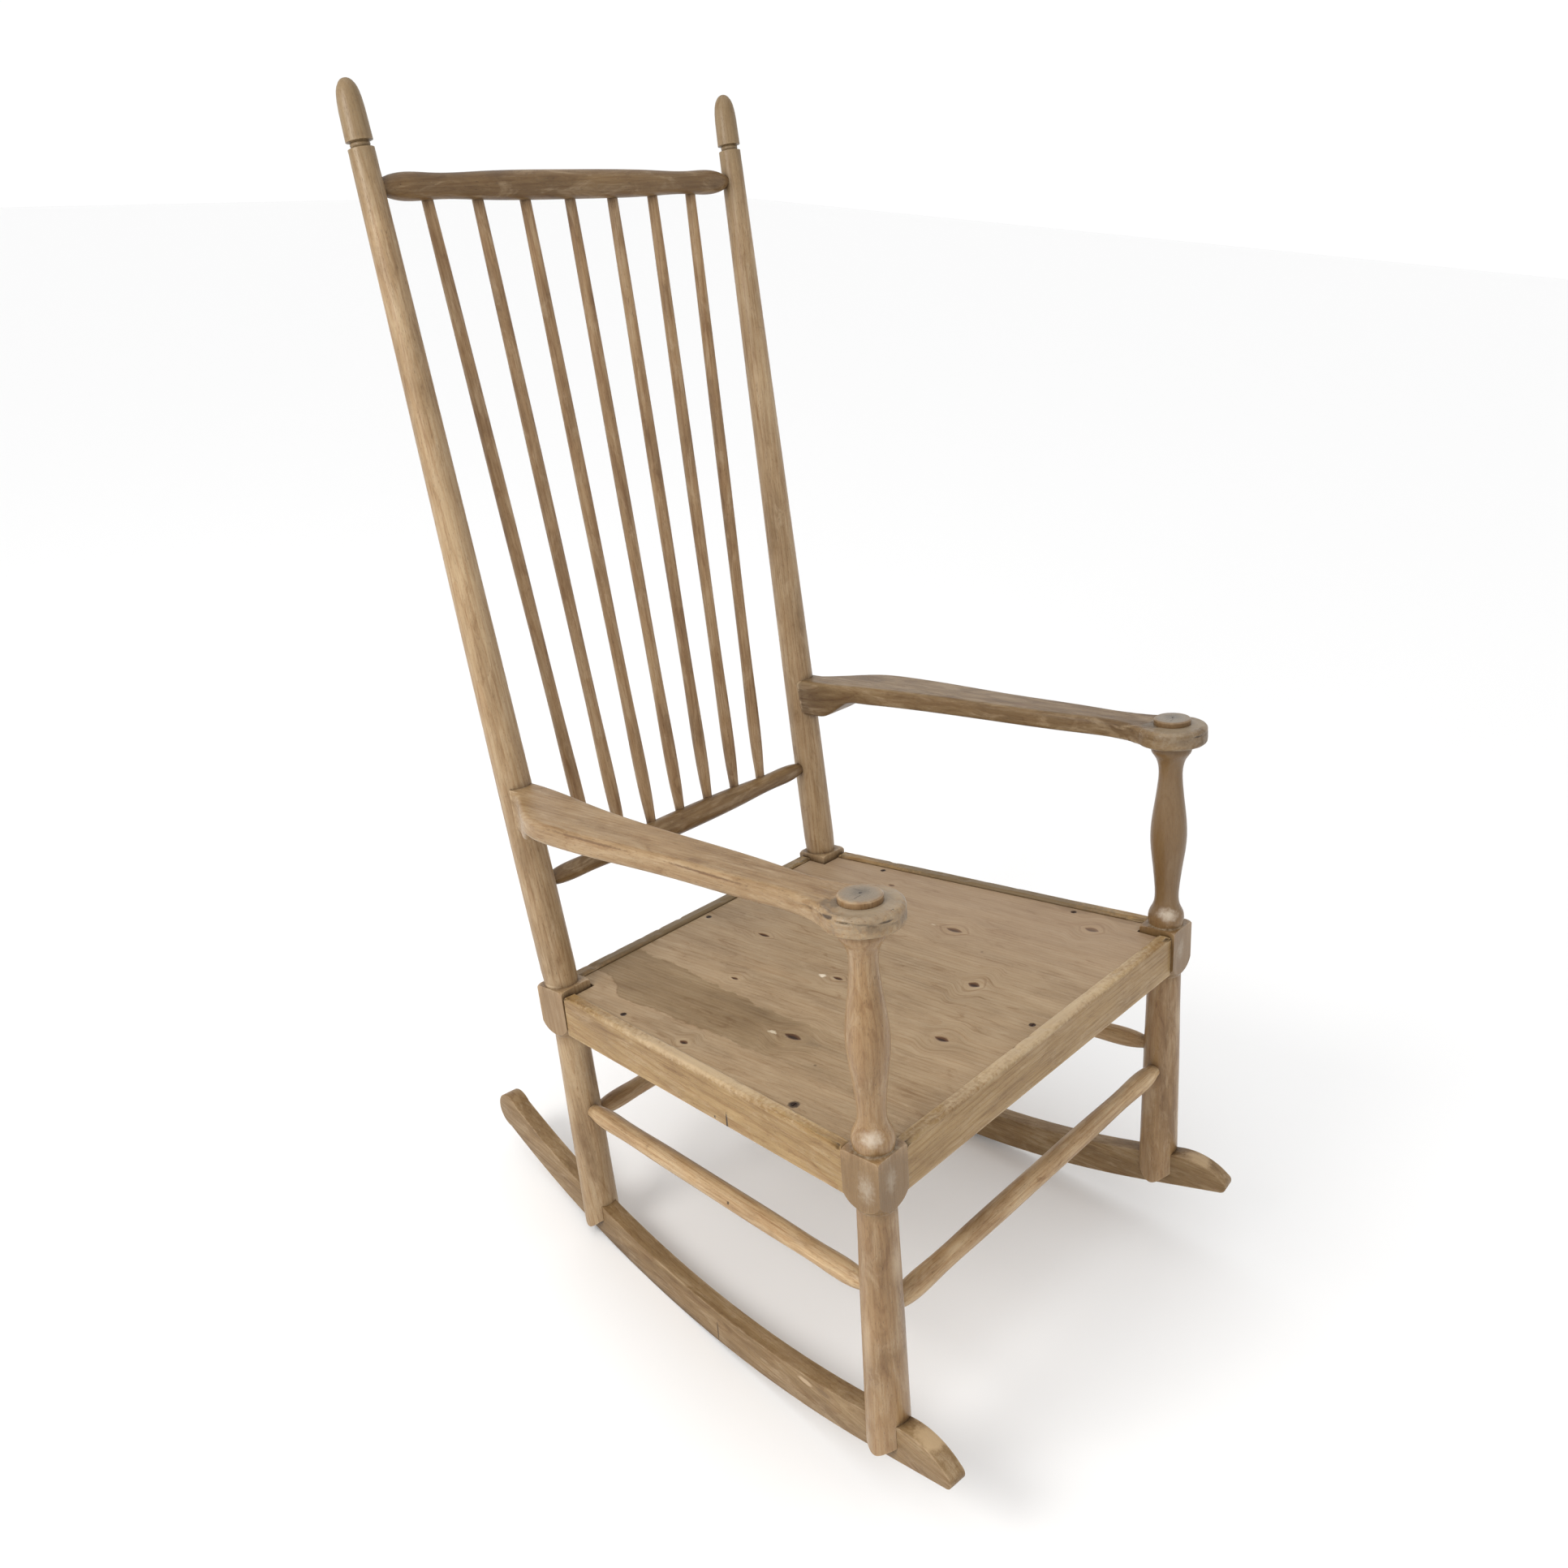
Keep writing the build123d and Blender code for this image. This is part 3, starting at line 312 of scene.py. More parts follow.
block_above_rail = 0.0035
post_top = reach("front_post_left")[1].z
block_top = reach("side_rail_left")[1].z + block_above_rail
for number, side in enumerate(("left", "right")):
    name = f"front_post_{side}"
    low, high = reach(name)
    centre = (low + high) / 2

    def at_height(level):
        """Places round this post's axis, with heights counted from level."""
        return lambda x, y, z: seat_place(centre.x + x, centre.y + y, level + z)

    # Only the right post gets the painted shade on its turning
    marks = placed(shaded_right_turning, at_height(block_top)) if side == "right" else []
    marks += placed(block_marks, at_height(block_top))
    marks += placed(leg_marks, at_height(low.z))
    marks += placed(tenon_marks, at_height(post_top))
    feel = {"streak": 0.55, "wear": 0.5, "shade_and_dirt": 0.85, "pores": 0.5, "rings": 0.4, "gloss": 0.85}
    heart_of_post = seat_place(centre.x, centre.y, 0)
    finish = wood(f"front_post_wood_{side}", up, heart_of_post, brown_beech, 1 + number, marks=marks, **feel)
    dress(name, finish)

# ------------------------------------------------------------------------------------------------
# Back posts. Turned from one long piece each, square at the seat, tapering up to a small finial
# with a cut groove under it. The same stripped wood, drier and paler on the outside.
# ------------------------------------------------------------------------------------------------
pale_beech = (shade(128, 104, 74), shade(157, 132, 99), shade(180, 156, 122))
for number, side in enumerate(("left", "right")):
    name = f"back_post_{side}"
    tip = max((vert.co for vert in frame["nodes"][name].data.vertices), key=lambda place: place.dot(up))
    # The block stands behind the side rail and a little nearer the chair's middle
    rail_middle = middle_of(f"side_rail_{side}")
    block = rail_middle + back * 0.222 + across * (0.022 if side == "left" else -0.022)
    block_shoulder = rail_middle + back * 0.225 + up * 0.028
    marks = [
        (shade(106, 88, 60), 0.6, 0, (tip - up * 0.02, (0.05, 0.05, 0.16), 0.8, 0.3)),
        (shade(124, 97, 64), 0.6, 0, (block - up * 0.006, (0.05, 0.032, 0.040), 0.3, 0.3)),
        (rubbed_pale, 0.5, 0, (block_shoulder, (0.024, 0.024, 0.003), 0.5, 0.5)),
    ]
    feel = {"streak": 0.7, "wear": 0.5, "shade_and_dirt": 0.85, "pores": 0.5, "rings": 0.4, "gloss": 0.6}
    grain, middle = grain_of(name), middle_of(name)
    finish = wood(f"back_post_wood_{side}", grain, middle, pale_beech, 11 + number, marks=marks, **feel)
    dress(name, finish)

# ------------------------------------------------------------------------------------------------
# Seat rails. Four planed boards let into the square blocks, their top edges worn round and pale
# by a loose seat cushion. The left one has an old saw cut at its lower edge.
# ------------------------------------------------------------------------------------------------


def worked_copy(name, new_name, steps, room):
    """A copy of a wooden part cut into a fine net of faces, so that wear can be worked into its surface.

    Steps are the net's spacings across, to the back and up. Room is the lowest and highest place to cut in.
    """
    part = frame["nodes"][name]
    shape = bmesh.new()
    shape.from_mesh(part.data)
    bmesh.ops.remove_doubles(shape, verts=shape.verts, dist=1e-6)
    for direction, step, first, last in zip((across, back, up), steps, *room):
        for count in range(1, int((last - first) / step)):
            place = direction * (first + count * step)
            geometry = shape.verts[:] + shape.edges[:] + shape.faces[:]
            bmesh.ops.bisect_plane(shape, geom=geometry, dist=1e-7, plane_co=place, plane_no=direction)
    shape.normal_update()
    mesh = bpy.data.meshes.new(new_name)
    made = bpy.data.objects.new(new_name, mesh)
    bpy.context.scene.collection.objects.link(made)
    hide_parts(name)
    return made, shape


def finish_copy(made, shape, sharp=40):
    """Puts the worked shape into its copy, with edges sharper than so many degrees left crisp."""
    for face in shape.faces:
        face.smooth = True
    for edge in shape.edges:
        edge.smooth = edge.calc_face_angle(math.pi) < math.radians(sharp)
    shape.to_mesh(made.data)
    shape.free()
    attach(made, "root")


def uneven(place, size, seed):
    """A smooth random height between 0 and 1, with bumps about size across."""
    return 0.5 + 0.5 * noise.noise(place / size + Vector((seed * 9.1, seed * 4.7, seed * 2.3)))


def wear_rail(name, seed):
    """Rubs the rail's upper edges down unevenly, with a chip here and there."""
    low, high = reach(name)
    worn_height = 0.006
    usual_wear, chip_depth = 0.0006, 0.0022
    made, shape = worked_copy(name, name + "_worn", (0.0035, 0.0045, 0.0035), (low, high))
    for vert in shape.verts:
        near_top = max(0.0, 1 + (vert.co.dot(up) - high.z) / worn_height)
        chipped = max(0.0, uneven(vert.co, 0.012, seed) - 0.62) / 0.38
        sunk = near_top * (usual_wear * uneven(vert.co, 0.03, seed + 1) + chip_depth * chipped)
        outward = max(0.0, vert.normal.dot(up))
        vert.co -= up * sunk * (0.3 + 0.7 * outward) + vert.normal * sunk * 0.35
    finish_copy(made, shape)
    return made


rail_wood = (shade(126, 98, 61), shade(149, 121, 78), shade(170, 142, 97))
for number, name in enumerate(("side_rail_left", "side_rail_right", "front_rail", "rear_rail")):
    low, high = reach(name)
    middle = middle_of(name)
    marks = []
    if name == "side_rail_left":
        # Its outer face slants, and the saw cut and the nick beside it are wide enough to reach through it
        outside = low.x + 0.26 * (high.x - low.x)
        cut = seat_place(outside, low.y + 0.38 * (high.y - low.y), low.z + 0.004)
        nick = seat_place(outside, low.y + 0.42 * (high.y - low.y), low.z + 0.003)
        marks = [
            (black_line, 0.95, 0.0012, (cut, (0.03, 0.0013, 0.013), 0.4, 0.5)),
            (black_line, 0.8, 0.0006, (nick, (0.02, 0.0015, 0.002), 0.5, 0.8)),
        ]
    # The rim along the top is rubbed pale at the front and left, and darker at the rear and right
    half_wide, half_long = (0.03, 0.235) if name.startswith("side") else (0.26, 0.02)
    rim = middle + up * (high.z - low.z) / 2
    if name in ("side_rail_left", "front_rail"):
        marks.append((shade(200, 178, 146), 0.6, 0, (rim, (half_wide, half_long, 0.0065), 0.8, 1.3)))
    else:
        marks.append((shade(96, 80, 56), 0.75, 0, (rim, (half_wide, half_long, 0.0085), 0.5, 0.9)))
    rail = wear_rail(name, 3 + number)
    feel = {"streak": 0.55, "wear": 1.0, "shade_and_dirt": 0.8, "pores": 0.5, "rings": 0.55, "gloss": 0.55}
    finish = wood(name + "_wood", grain_of(name), middle, rail_wood, 21 + number, marks=marks, **feel)
    rail.data.materials.append(finish)

# ------------------------------------------------------------------------------------------------
# Crest rail, lower back rail and spindles. All turned, pegged into one another without glue lines
# showing. The two rails are the brownest wood of the chair.
# ------------------------------------------------------------------------------------------------
rail_brown = (shade(90, 68, 42), shade(113, 88, 56), shade(134, 108, 72))
feel = {"streak": 0.6, "wear": 0.5, "shade_and_dirt": 0.8, "pores": 0.6, "rings": 0.4, "gloss": 0.55}
for number, name in enumerate(("crest_rail", "lower_back_rail")):
    dress(name, wood(name + "_wood", grain_of(name), middle_of(name), rail_brown, 31 + number, **feel))

spindle_wood = (shade(118, 92, 63), shade(146, 118, 84), shade(168, 141, 106))
feel = {"streak": 0.8, "wear": 0.5, "shade_and_dirt": 0.9, "pores": 0.5, "rings": 0.4, "gloss": 0.55}
for number in range(1, 8):
    name = f"back_spindle_{number}"
    dress(name, wood(name + "_wood", grain_of(name), middle_of(name), spindle_wood, 40 + number, **feel))

# ------------------------------------------------------------------------------------------------
# Stretchers. Four turned bars between the legs, a little thicker at the middle, rubbed pale by
# shoes, with a few dark pin knots.
# ------------------------------------------------------------------------------------------------
bar_wood = (shade(146, 118, 84), shade(180, 152, 114), shade(204, 178, 140))
feel = {"streak": 0.85, "wear": 0.5, "shade_and_dirt": 0.8, "pores": 0.55, "rings": 0.45, "gloss": 0.5}
stretchers = ("side_stretcher_left", "side_stretcher_right", "front_stretcher", "rear_stretcher")
for number, name in enumerate(stretchers):
    middle = middle_of(name)
    along_bar = grain_of(name)
    pin_knot = middle + along_bar * 0.03 - across * 0.009 + up * 0.003
    brown_patch = middle - along_bar * 0.10 - across * 0.006 + up * 0.006
    marks = [
        (black_line, 0.85, 0.0003, (pin_knot, (0.004, 0.0022, 0.0022), 0.5, 0.8)),
        (shade(120, 92, 62), 0.7, 0, (brown_patch, (0.004, 0.004, 0.004), 0.8, 0.9)),
    ]
    dress(name, wood(name + "_wood", along_bar, middle, bar_wood, 51 + number, marks=marks, **feel))

# ------------------------------------------------------------------------------------------------
# Rockers. Two curved runners of solid wood, slotted up between the cheeks of the legs and pinned.
# Their edges are knocked round, and there are old cracks across the bend.
# ------------------------------------------------------------------------------------------------
rocker_wood = (shade(108, 85, 57), shade(132, 107, 73), shade(154, 130, 96))
feel = {"streak": 0.6, "wear": 0.6, "shade_and_dirt": 0.7, "pores": 0.5, "rings": 0.4, "gloss": 0.4}
knocked_edge = 0.0020
for number, side in enumerate(("left", "right")):
    name = f"rocker_{side}"
    low, high = reach(name)
    long = high.y - low.y
    outer = low.x if side == "left" else high.x
    inward = 1 if side == "left" else -1
    # The bare strip over the nose, and how high the runner's top stands there
    front = [vert.co for vert in frame["nodes"][name].data.vertices if vert.co.dot(back) < low.y + 0.045]
    nose_height = max(place.dot(up) for place in front) - 0.001
    nose = seat_place(outer + inward * 0.014, low.y + 0.024, nose_height)

    def on_rocker(share, height):
        """A place on the outer side, at a share of the length from the nose and a height from the foot."""
        toed_in = 0.006 + 0.062 * share
        return seat_place(outer + inward * toed_in, low.y + share * long, low.z + height)

    marks = [
        (black_line, 0.9, 0.0009, (on_rocker(0.445, 0.014), (0.03, 0.0009, 0.014), 0.5, 0.9)),
        (shade(110, 86, 60), 0.7, 0, (on_rocker(0.19, 0.05), (0.03, 0.018, 0.004), 0.9, 0.9)),
        (shade(188, 162, 126), 0.7, 0, (nose, (0.016, 0.034, 0.006), 0.5, 0.6)),
        (shade(196, 172, 142), 0.6, 0, (on_rocker(0.26, 0.034), (0.03, 0.012, 0.0035), 0.4, 0.5)),
        (shade(108, 84, 58), 0.6, 0, (on_rocker(0.225, 0.036), (0.03, 0.012, 0.0040), 0.4, 0.5)),
        (shade(124, 98, 68), 0.5, 0, (on_rocker(0.30, 0.040), (0.03, 0.03, 0.005), 0.9, 0.7)),
    ]
    runner, shape = worked_copy(name, name + "_worn", (1, 1, 1), (low, high))
    bmesh.ops.dissolve_limit(shape, angle_limit=0.002, verts=shape.verts, edges=shape.edges)
    corners = [edge for edge in shape.edges if edge.calc_face_angle(0) > math.radians(45)]
    kept = {"profile": 0.5, "affect": "EDGES", "clamp_overlap": True}
    bmesh.ops.bevel(shape, geom=corners, offset=knocked_edge, segments=3, **kept)
    bmesh.ops.triangulate(shape, faces=[face for face in shape.faces if len(face.verts) > 4])
    finish_copy(runner, shape)
    grain, middle = grain_of(name), middle_of(name)
    finish = wood(name + "_wood", grain, middle, rocker_wood, 61 + number, marks=marks, **feel)
    runner.data.materials.append(finish)

# ------------------------------------------------------------------------------------------------
# Arms. Each is sawn from a thick board, rounded off at the front round the post's tenon and swept
# deep behind to meet the back post. The front ends are grey from hands and cracked with age.
# ------------------------------------------------------------------------------------------------
arm_wood = (shade(126, 101, 70), shade(148, 122, 88), shade(168, 143, 109))
# The arm wood made darker for the right arm: painted shade, as the light falls off towards the right
shaded_arm_wood = (shade(92, 71, 45), shade(114, 91, 60), shade(134, 111, 78))


def between(value, first, last):
    """How far value has come from first to last, kept from 0 to 1."""
    return min(1.0, max(0.0, (value - first) / (last - first)))


def wear_arm(name, hub_x, hub_y, seed, hurt):
    """Weathers an arm: a rough, gouged round end, a hollow beside the tenon and a split along the edge.

    The hub is the middle of the round end, and hurt is how much harm this arm has taken.
    """
    low, high = reach(name)
    end_length = 0.060
    tenon_room = 0.0200
    net = (0.0014, 0.0014, 0.0012)
    far = Vector((high.x, hub_y + end_length, high.z))
    made, shape = worked_copy(name, name + "_worn", net, (low, far))
    outside = -1 if hub_x < 0 else 1
    for vert in shape.verts:
        x = (vert.co.x - hub_x) * -outside
        y = vert.co.dot(back) - hub_y
        z = vert.co.dot(up) - high.z
        out = math.hypot(x, y)
        if y > end_length + 0.002 or out < tenon_room:
            continue
        rim = between(out, 0.0215, 0.0255) * between(y, 0.055, 0.035)
        rough = 0.0009 * uneven(vert.co, 0.011, seed) + 0.0005 * uneven(vert.co, 0.0045, seed + 1)
        # The split wanders along the middle of the edge and opens here and there
        angle = math.atan2(-x, -y)
        wander = 0.003 * (uneven(vert.co, 0.01, seed + 2) - 0.5)
        split = z + 0.0075 - 0.0025 * math.sin(angle * 1.7 + seed) - wander
        open_here = min(1.0, max(0.0, 3.0 * uneven(vert.co, 0.016, seed + 3) - 0.9))
        groove = 0.0019 * math.exp(-((split / 0.0011) ** 2)) * open_here
        # The gouges are on one side of the end
        side_of_end = max(0.0, math.cos(angle - 1.9))
        gouge = 0.0026 * side_of_end**10 * max(0.0, uneven(vert.co, 0.008, seed + 4) - 0.25)
        vert.co -= vert.normal * rim * hurt * (rough + groove + gouge)
        turn = max(0.0, math.cos(math.atan2(x, y) + 0.9)) ** 2
        hollow = math.exp(-(((out - 0.0245) / 0.0035) ** 2)) * turn
        if z > -0.003:
            vert.co -= up * 0.0016 * hollow * hurt
    finish_copy(made, shape, 50)
    return made


# Places are counted from the middle of the round end, at the height of the arm's top
hand_grey = shade(142, 128, 108)
split_brown = shade(96, 68, 44)
round_end_marks = [
    (hand_grey, 0.75, 0, (0, -0.01, -0.004), (0.050, 0.034, 0.03), 0.6, 0.8),
    (shade(112, 96, 76), 0.75, 0, (0.012, -0.028, -0.012), (0.022, 0.014, 0.006), 0.9, 1.6),
    (shade(108, 90, 70), 0.70, 0, (-0.020, -0.026, -0.010), (0.014, 0.014, 0.006), 0.9, 1.6),
    (shade(92, 78, 60), 0.8, 0.0006, (-0.014, 0.016, 0.0), (0.012, 0.014, 0.004), 0.5, 0.5),
    (black_line, 0.85, 0.0008, (-0.031, 0.008, -0.004), (0.004, 0.008, 0.0022), 0.6, 0.9),
    (shade(96, 80, 62), 0.8, 0.0006, (-0.030, 0.002, -0.011), (0.006, 0.006, 0.006), 0.7, 0.9),
    (black_line, 0.8, 0.0006, (-0.010, -0.033, -0.006), (0.010, 0.004, 0.0012), 0.6, 0.9),
    (shade(110, 98, 82), 0.6, 0.0004, (0.016, -0.030, -0.008), (0.018, 0.008, 0.005), 0.8, 0.9),
    (black_line, 0.75, 0.0006, (-0.0245, 0.05, -0.0015), (0.0012, 0.03, 0.0010), 0.6, 0.9),
]
# Along the outer edge, so their x is turned over for the left arm: brown splits and a rubbed line
outer_edge_marks = [
    (split_brown, 0.75, 0.0004, (0.0270, 0.290, -0.0054), (0.006, 0.080, 0.0014), 0.6, 0.9),
    (split_brown, 0.75, 0.0004, (0.0215, 0.150, -0.0056), (0.006, 0.065, 0.0013), 0.6, 0.9),
    (shade(196, 176, 148), 0.55, 0, (0.024, 0.13, -0.0010), (0.005, 0.090, 0.0016), 0.8, 1.4),
]
brown_fleck = [(shade(104, 76, 50), 0.6, 0, (-0.012, 0.17, -0.001), (0.006, 0.014, 0.003), 0.8, 0.9)]

feel = {"streak": 0.6, "wear": 0.7, "shade_and_dirt": 0.8, "pores": 0.55, "rings": 0.4, "gloss": 0.55}
for number, side in enumerate(("left", "right")):
    name = f"arm_{side}"
    top_of_arm = reach(name)[1].z
    post_low, post_high = reach(f"front_post_{side}")
    hub_x, hub_y = (post_low.x + post_high.x) / 2, (post_low.y + post_high.y) / 2
    outward = -1 if side == "left" else 1

    def at_hub(x, y, z):
        return seat_place(hub_x + x, hub_y + y, top_of_arm + z)

    marks = placed(round_end_marks, at_hub)
    marks += placed(outer_edge_marks, lambda x, y, z: at_hub(x * outward, y, z))
    marks += placed(brown_fleck, at_hub)
    arm = wear_arm(name, hub_x, hub_y, 5 + 8 * number, 1.0 if side == "left" else 0.7)
    # The right arm's darker tones are painted shade
    tones = arm_wood if side == "left" else shaded_arm_wood
    finish = wood(name + "_wood", back, middle_of(name), tones, 71 + number, marks=marks, **feel)
    arm.data.materials.append(finish)

# ------------------------------------------------------------------------------------------------
# Pins, dowels, battens and screws. The wooden pegs are cut off flush; the steel screws have gone
# dark in their holes.
# ------------------------------------------------------------------------------------------------
peg_wood = (shade(104, 80, 54), shade(132, 104, 72), shade(158, 130, 94))
peg_kinds = ("front_leg_pin", "back_leg_pin", "arm_dowel", "arm_pin")
pegs = [f"{kind}_{side}" for kind in peg_kinds for side in ("left", "right")]
battens = [f"seat_batten_{place}" for place in ("front", "rear", "left", "right")]
feel = {"streak": 0.5, "wear": 0.4, "shade_and_dirt": 0.8, "pores": 0.5, "rings": 0.4, "gloss": 0.3}
for number, name in enumerate(pegs + battens):
    dress(name, wood(name + "_wood", grain_of(name), middle_of(name), peg_wood, 81 + number, **feel))


def old_steel():
    """Screw steel gone dark, with brown rust in patches."""
    finish = bpy.data.materials.new("old_screw_steel")
    finish.use_nodes = True
    tree = finish.node_tree
    tree.nodes.clear()
    place = add(tree, "TexCoord").outputs["Object"]
    rust = add(tree, "TexNoise", {"Vector": place, "Scale": 900.0, "Detail": 4.0}).outputs["Fac"]
    colour = tint(tree, "MIX", spread_out(tree, rust, 0.42, 0.62), shade(46, 42, 40), shade(88, 60, 42))
    rough = spread_out(tree, rust, 0.3, 0.7, 0.35, 0.7)
    bumps = add(tree, "Bump", {"Height": rust, "Strength": 0.3, "Distance": 0.0003}).outputs[0]
    sockets = {"Base Color": colour, "Roughness": rough, "Normal": bumps, "Metallic": 0.8}
    skin = add(tree, "BsdfPrincipled", sockets)
    add(tree, "OutputMaterial", {"Surface": skin.outputs[0]})
    return finish


screws = range(1, 7)
screw_finish = old_steel()
for number in screws:
    dress(f"seat_screw_{number}", screw_finish)

# ------------------------------------------------------------------------------------------------
# Seat board. A sheet of birch plywood dropped in between the rails over the battens and screwed
# down. Its face has small knots in eye-shaped rings, and an old damp mark along the left.
# ------------------------------------------------------------------------------------------------
board_low, board_high = reach("seat_panel")
post_low, post_high = reach("front_post_left")
post_line = (post_low.y + post_high.y) / 2


def on_board(x, y):
    """A place on the board's top, y metres behind the middle of the front posts."""
    return seat_place(x, post_line + y, board_high.z)


# Each knot's place on the board, its width across the grain and its length along it
board_knots = [
    (0.001, 0.357, 0.0021, 0.0080),
    (-0.094, 0.313, 0.0017, 0.0048),
    (-0.032, 0.222, 0.0021, 0.0062),
    (-0.150, 0.182, 0.0036, 0.0096),
    (0.129, 0.187, 0.0034, 0.0096),
    (0.036, 0.098, 0.0042, 0.0062),
    (-0.071, 0.062, 0.0032, 0.0074),
    (0.212, 0.064, 0.0038, 0.0076),
    (0.188, 0.319, 0.0021, 0.0042),
    (-0.220, 0.263, 0.0026, 0.0048),
]
board, shape = worked_copy("seat_panel", "seat_board", (0.012, 0.012, 0.02), (board_low, board_high))


def near_knot(face, x, y):
    """Whether a face is on the board's top, within a finger's width of a knot."""
    middle = face.calc_center_median()
    beside = abs(middle.x - x) < 0.018
    return face.normal.dot(up) > 0.9 and beside and abs(middle.dot(back) - post_line - y) < 0.030


# Round each knot the net is much finer, so that the knot can stand sunk in the board
for x, y, wide, long in board_knots:
    for direction, centre, step in ((across, x, 0.0008), (back, post_line + y, 0.0016)):
        for number in range(-14, 15):
            near = [face for face in shape.faces if near_knot(face, x, y)]
            edges = {edge for face in near for edge in face.edges}
            verts = {vert for face in near for vert in face.verts}
            place = direction * (centre + number * step)
            geometry = list(verts) + list(edges) + near
            bmesh.ops.bisect_plane(shape, geom=geometry, dist=1e-7, plane_co=place, plane_no=direction)
shape.normal_update()
for vert in shape.verts:
    if abs(vert.co.dot(up) - board_high.z) > 1e-5:
        continue
    ahead = vert.co.dot(back) - post_line
    sunk = 0.00025 * uneven(vert.co, 0.05, 5)
    for x, y, wide, long in board_knots:
        out = abs(vert.co.x - x) / wide + ((ahead - y) / long) ** 2
        if out < 8:
            sunk += 0.0016 * math.exp(-(out**2) * 0.9) + 0.00018 * math.exp(-((out - 4.2) ** 2) * 0.6)
    vert.co -= up * sunk
finish_copy(board, shape)

# White filler, small dents, brown scuffs, and two round dark patches at the right edge
filler = shade(222, 208, 186)
dent_brown = shade(104, 84, 62)
scuff_brown = shade(126, 104, 78)
right_edge_dark = shade(118, 98, 74)
board_marks = [
    (filler, 0.9, 0, (-0.155, 0.204), (0.0036, 0.0055, 0.004), 0.4, 1.6),
    (filler, 0.9, 0, (-0.037, 0.239), (0.0050, 0.0050, 0.004), 0.4, 1.9),
    (shade(214, 200, 176), 0.6, 0, (0.127, 0.214), (0.0015, 0.0040, 0.004), 0.6, 0.9),
    (dent_brown, 0.8, 0.0003, (-0.178, 0.130), (0.0018, 0.0022, 0.004), 0.5, 0.8),
    (dent_brown, 0.7, 0.0003, (0.101, 0.132), (0.0018, 0.0020, 0.004), 0.5, 0.8),
    (shade(126, 106, 82), 0.5, 0, (-0.150, 0.157), (0.0060, 0.0140, 0.004), 0.9, 0.9),
    (scuff_brown, 0.45, 0, (0.008, 0.150), (0.0016, 0.0240, 0.004), 0.8, 0.8),
    (scuff_brown, 0.40, 0, (0.018, 0.128), (0.0016, 0.0200, 0.004), 0.8, 0.8),
    (right_edge_dark, 0.55, 0, (0.247, 0.108), (0.0110, 0.0260, 0.004), 0.25, 0.25),
    (right_edge_dark, 0.55, 0, (0.253, 0.050), (0.0110, 0.0230, 0.004), 0.25, 0.25),
]
marks = placed(board_marks, on_board)
# A dark ring round each screw's head, which lies just above the screw's middle. The third is the widest
head_above_middle = 0.0115
for number in screws:
    size = 0.0066 if number == 3 else 0.0042
    head = middle_of(f"seat_screw_{number}") + up * head_above_middle
    marks.append((shade(62, 48, 36), 0.92, 0.0004, (head, (size, size, 0.006), 0.35, 0.5)))
knots = [(on_board(x, y), wide, long) for x, y, wide, long in board_knots]
board_tones = (shade(142, 120, 92), shade(158, 135, 105), shade(172, 149, 118))
feel = {"streak": 0.38, "wear": 0.15, "shade_and_dirt": 0.6, "pores": 0.35, "rings": 0.35, "gloss": 0.25}
board_wood = wood("seat_board_wood", back, on_board(0, 0.22), board_tones, 91, marks=marks, knots=knots, **feel)
board.data.materials.append(board_wood)


def stain_board(finish):
    """The old damp mark on the left of the board, the pinker wood on its right, and one sheet's edge."""
    tree = finish.node_tree
    skin = tree.nodes["Principled BSDF"]
    colour = skin.inputs["Base Color"].links[0].from_socket
    place = add(tree, "TexCoord").outputs["Object"]
    sockets = {"Vector": place, "Rotation": (math.atan2(up.y, up.z), 0, 0), "Location": (0, -post_line, 0)}
    level = add(tree, "Mapping", sockets).outputs[0]
    ragged = add(tree, "TexNoise", {"Vector": level, "Scale": 45.0, "Detail": 4.0}).outputs["Fac"]
    ragged = spread_out(tree, ragged, 0.3, 0.7, -0.004, 0.004, smooth=False)
    flat = add(tree, "SeparateXYZ", {0: level})
    aside = sums(tree, "ADD", flat.outputs["X"], ragged)
    ahead = flat.outputs["Y"]

    # The mark has a straight right edge and a dry corner on the left, and fades to the front
    right_edge = spread_out(tree, ahead, 0.445, 0.245, -0.104, -0.124, smooth=False)
    left_edge = spread_out(tree, ahead, 0.375, 0.440, -0.192, -0.165)
    from_right = sums(tree, "SUBTRACT", aside, right_edge)
    from_left = sums(tree, "SUBTRACT", aside, left_edge)
    left_of_right = spread_out(tree, from_right, 0.0012, -0.0012)
    right_of_left = spread_out(tree, from_left, -0.0010, 0.0010)
    damp = sums(tree, "MULTIPLY", left_of_right, right_of_left)
    fading = spread_out(tree, sums(tree, "ADD", ahead, sums(tree, "MULTIPLY", ragged, 5)), 0.11, 0.25)
    damp = sums(tree, "MULTIPLY", damp, fading)
    colour = tint(tree, "MULTIPLY", damp, colour, shade(220, 216, 206))

    # A brown tide line runs round the dry corner
    tide = spread_out(tree, sums(tree, "ABSOLUTE", from_left), 0.0022, 0.0004)
    tide = sums(tree, "MULTIPLY", tide, spread_out(tree, ahead, 0.20, 0.30, 0, 0.4))
    colour = tint(tree, "MULTIPLY", tide, colour, shade(206, 190, 168))

    pink = spread_out(tree, flat.outputs["X"], 0.02, 0.22, 0, 0.30)
    colour = tint(tree, "MIX", pink, colour, shade(166, 140, 118))
    leaf_left = spread_out(tree, aside, -0.1835, -0.1825)
    leaf = sums(tree, "MULTIPLY", leaf_left, spread_out(tree, aside, -0.1265, -0.1275))
    colour = tint(tree, "MULTIPLY", sums(tree, "MULTIPLY", leaf, 0.5), colour, shade(240, 238, 234))
    tree.links.new(colour, skin.inputs["Base Color"])


stain_board(board_wood)

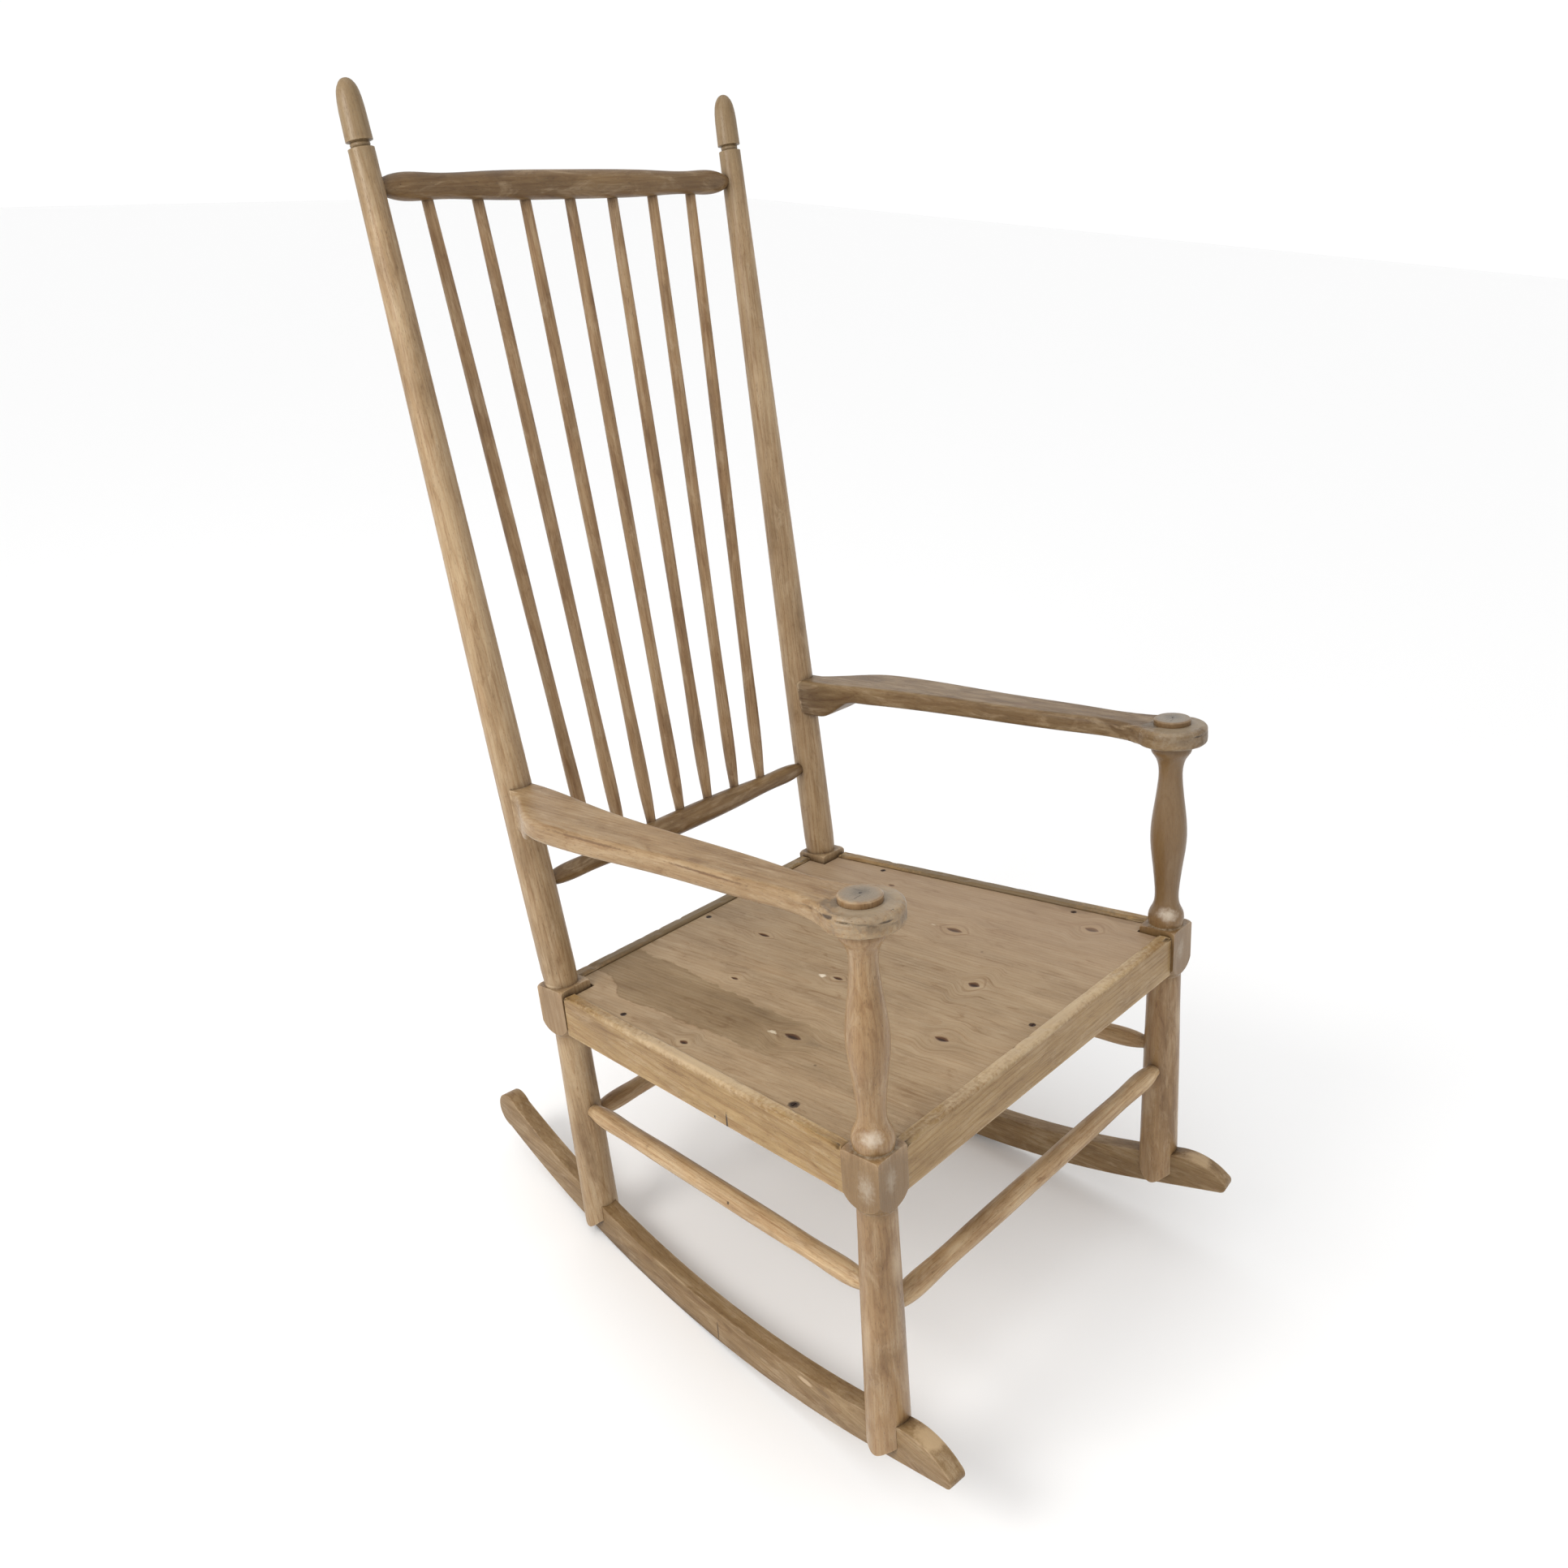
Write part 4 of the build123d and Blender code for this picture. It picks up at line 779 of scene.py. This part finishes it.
# ------------------------------------------------------------------------------------------------
# The room: a pale floor, white walls, soft light from above and from a window high on the left, and
# the camera at standing height, tilted a little as if held by hand.
# ------------------------------------------------------------------------------------------------
floor_mesh = bpy.data.meshes.new("floor")
half_floor = 14.0
corners = [(x * half_floor, y * half_floor, 0) for x, y in ((-1, -1), (1, -1), (1, 1), (-1, 1))]
floor_mesh.from_pydata(corners, [], [(0, 1, 2, 3)])
floor = bpy.data.objects.new("floor", floor_mesh)
bpy.context.scene.collection.objects.link(floor)
floor_paint = bpy.data.materials.new("pale_floor")
floor_paint.use_nodes = True
floor_skin = floor_paint.node_tree.nodes["Principled BSDF"]
floor_skin.inputs["Base Color"].default_value = (0.93, 0.93, 0.93, 1)
floor_skin.inputs["Roughness"].default_value = 0.9
floor_mesh.materials.append(floor_paint)

# White walls and a duller ceiling
room = bpy.data.worlds.new("room")
bpy.context.scene.world = room
room.use_nodes = True
sky = room.node_tree
towards = add(sky, "TexCoord").outputs["Generated"]
rise = add(sky, "SeparateXYZ", {0: towards}).outputs["Z"]
wall_light = spread_out(sky, rise, 0.12, 0.55, 1.02, 0.78)
sky.links.new(wall_light, sky.nodes["Background"].inputs["Strength"])
sky.nodes["Background"].inputs["Color"].default_value = (1, 1, 1, 1)
bpy.context.scene.view_settings.view_transform = "Standard"


window = bpy.data.lights.new("window", "AREA")
window.shape = "DISK"
window.size = 0.9
window.energy = 21
window.color = (1.0, 0.98, 0.95)
window_light = bpy.data.objects.new("window", window)
window_light.location = (-1.75, 0.35, 1.55)
window_light.visible_camera = False
onto_seat = Vector((0, 0, 0.45)) - window_light.location
window_light.rotation_euler = onto_seat.to_track_quat("-Z", "Y").to_euler()
bpy.context.scene.collection.objects.link(window_light)

ceiling = bpy.data.lights.new("ceiling", "SUN")
ceiling.energy = 0.75
ceiling.angle = math.radians(80)
ceiling_light = bpy.data.objects.new("ceiling", ceiling)
ceiling_light.rotation_euler = (math.radians(4), math.radians(-10), 0)
bpy.context.scene.collection.objects.link(ceiling_light)

camera_data = bpy.data.cameras.new("camera")
camera_data.sensor_width = 36
camera_data.lens = 31.742
camera_data.shift_x = 0.02797
camera_data.shift_y = 0.02137
camera = bpy.data.objects.new("camera", camera_data)
heading = Matrix.Rotation(math.radians(-48.161), 4, "Z")
pitch = Matrix.Rotation(math.radians(90 - 27.364), 4, "X")
roll = Matrix.Rotation(math.radians(2.441), 4, "Z")
stand = Matrix.Translation((-1.0094, -0.7885, 1.1521))
camera.matrix_world = stand @ heading @ pitch @ roll
bpy.context.scene.collection.objects.link(camera)
bpy.context.scene.camera = camera
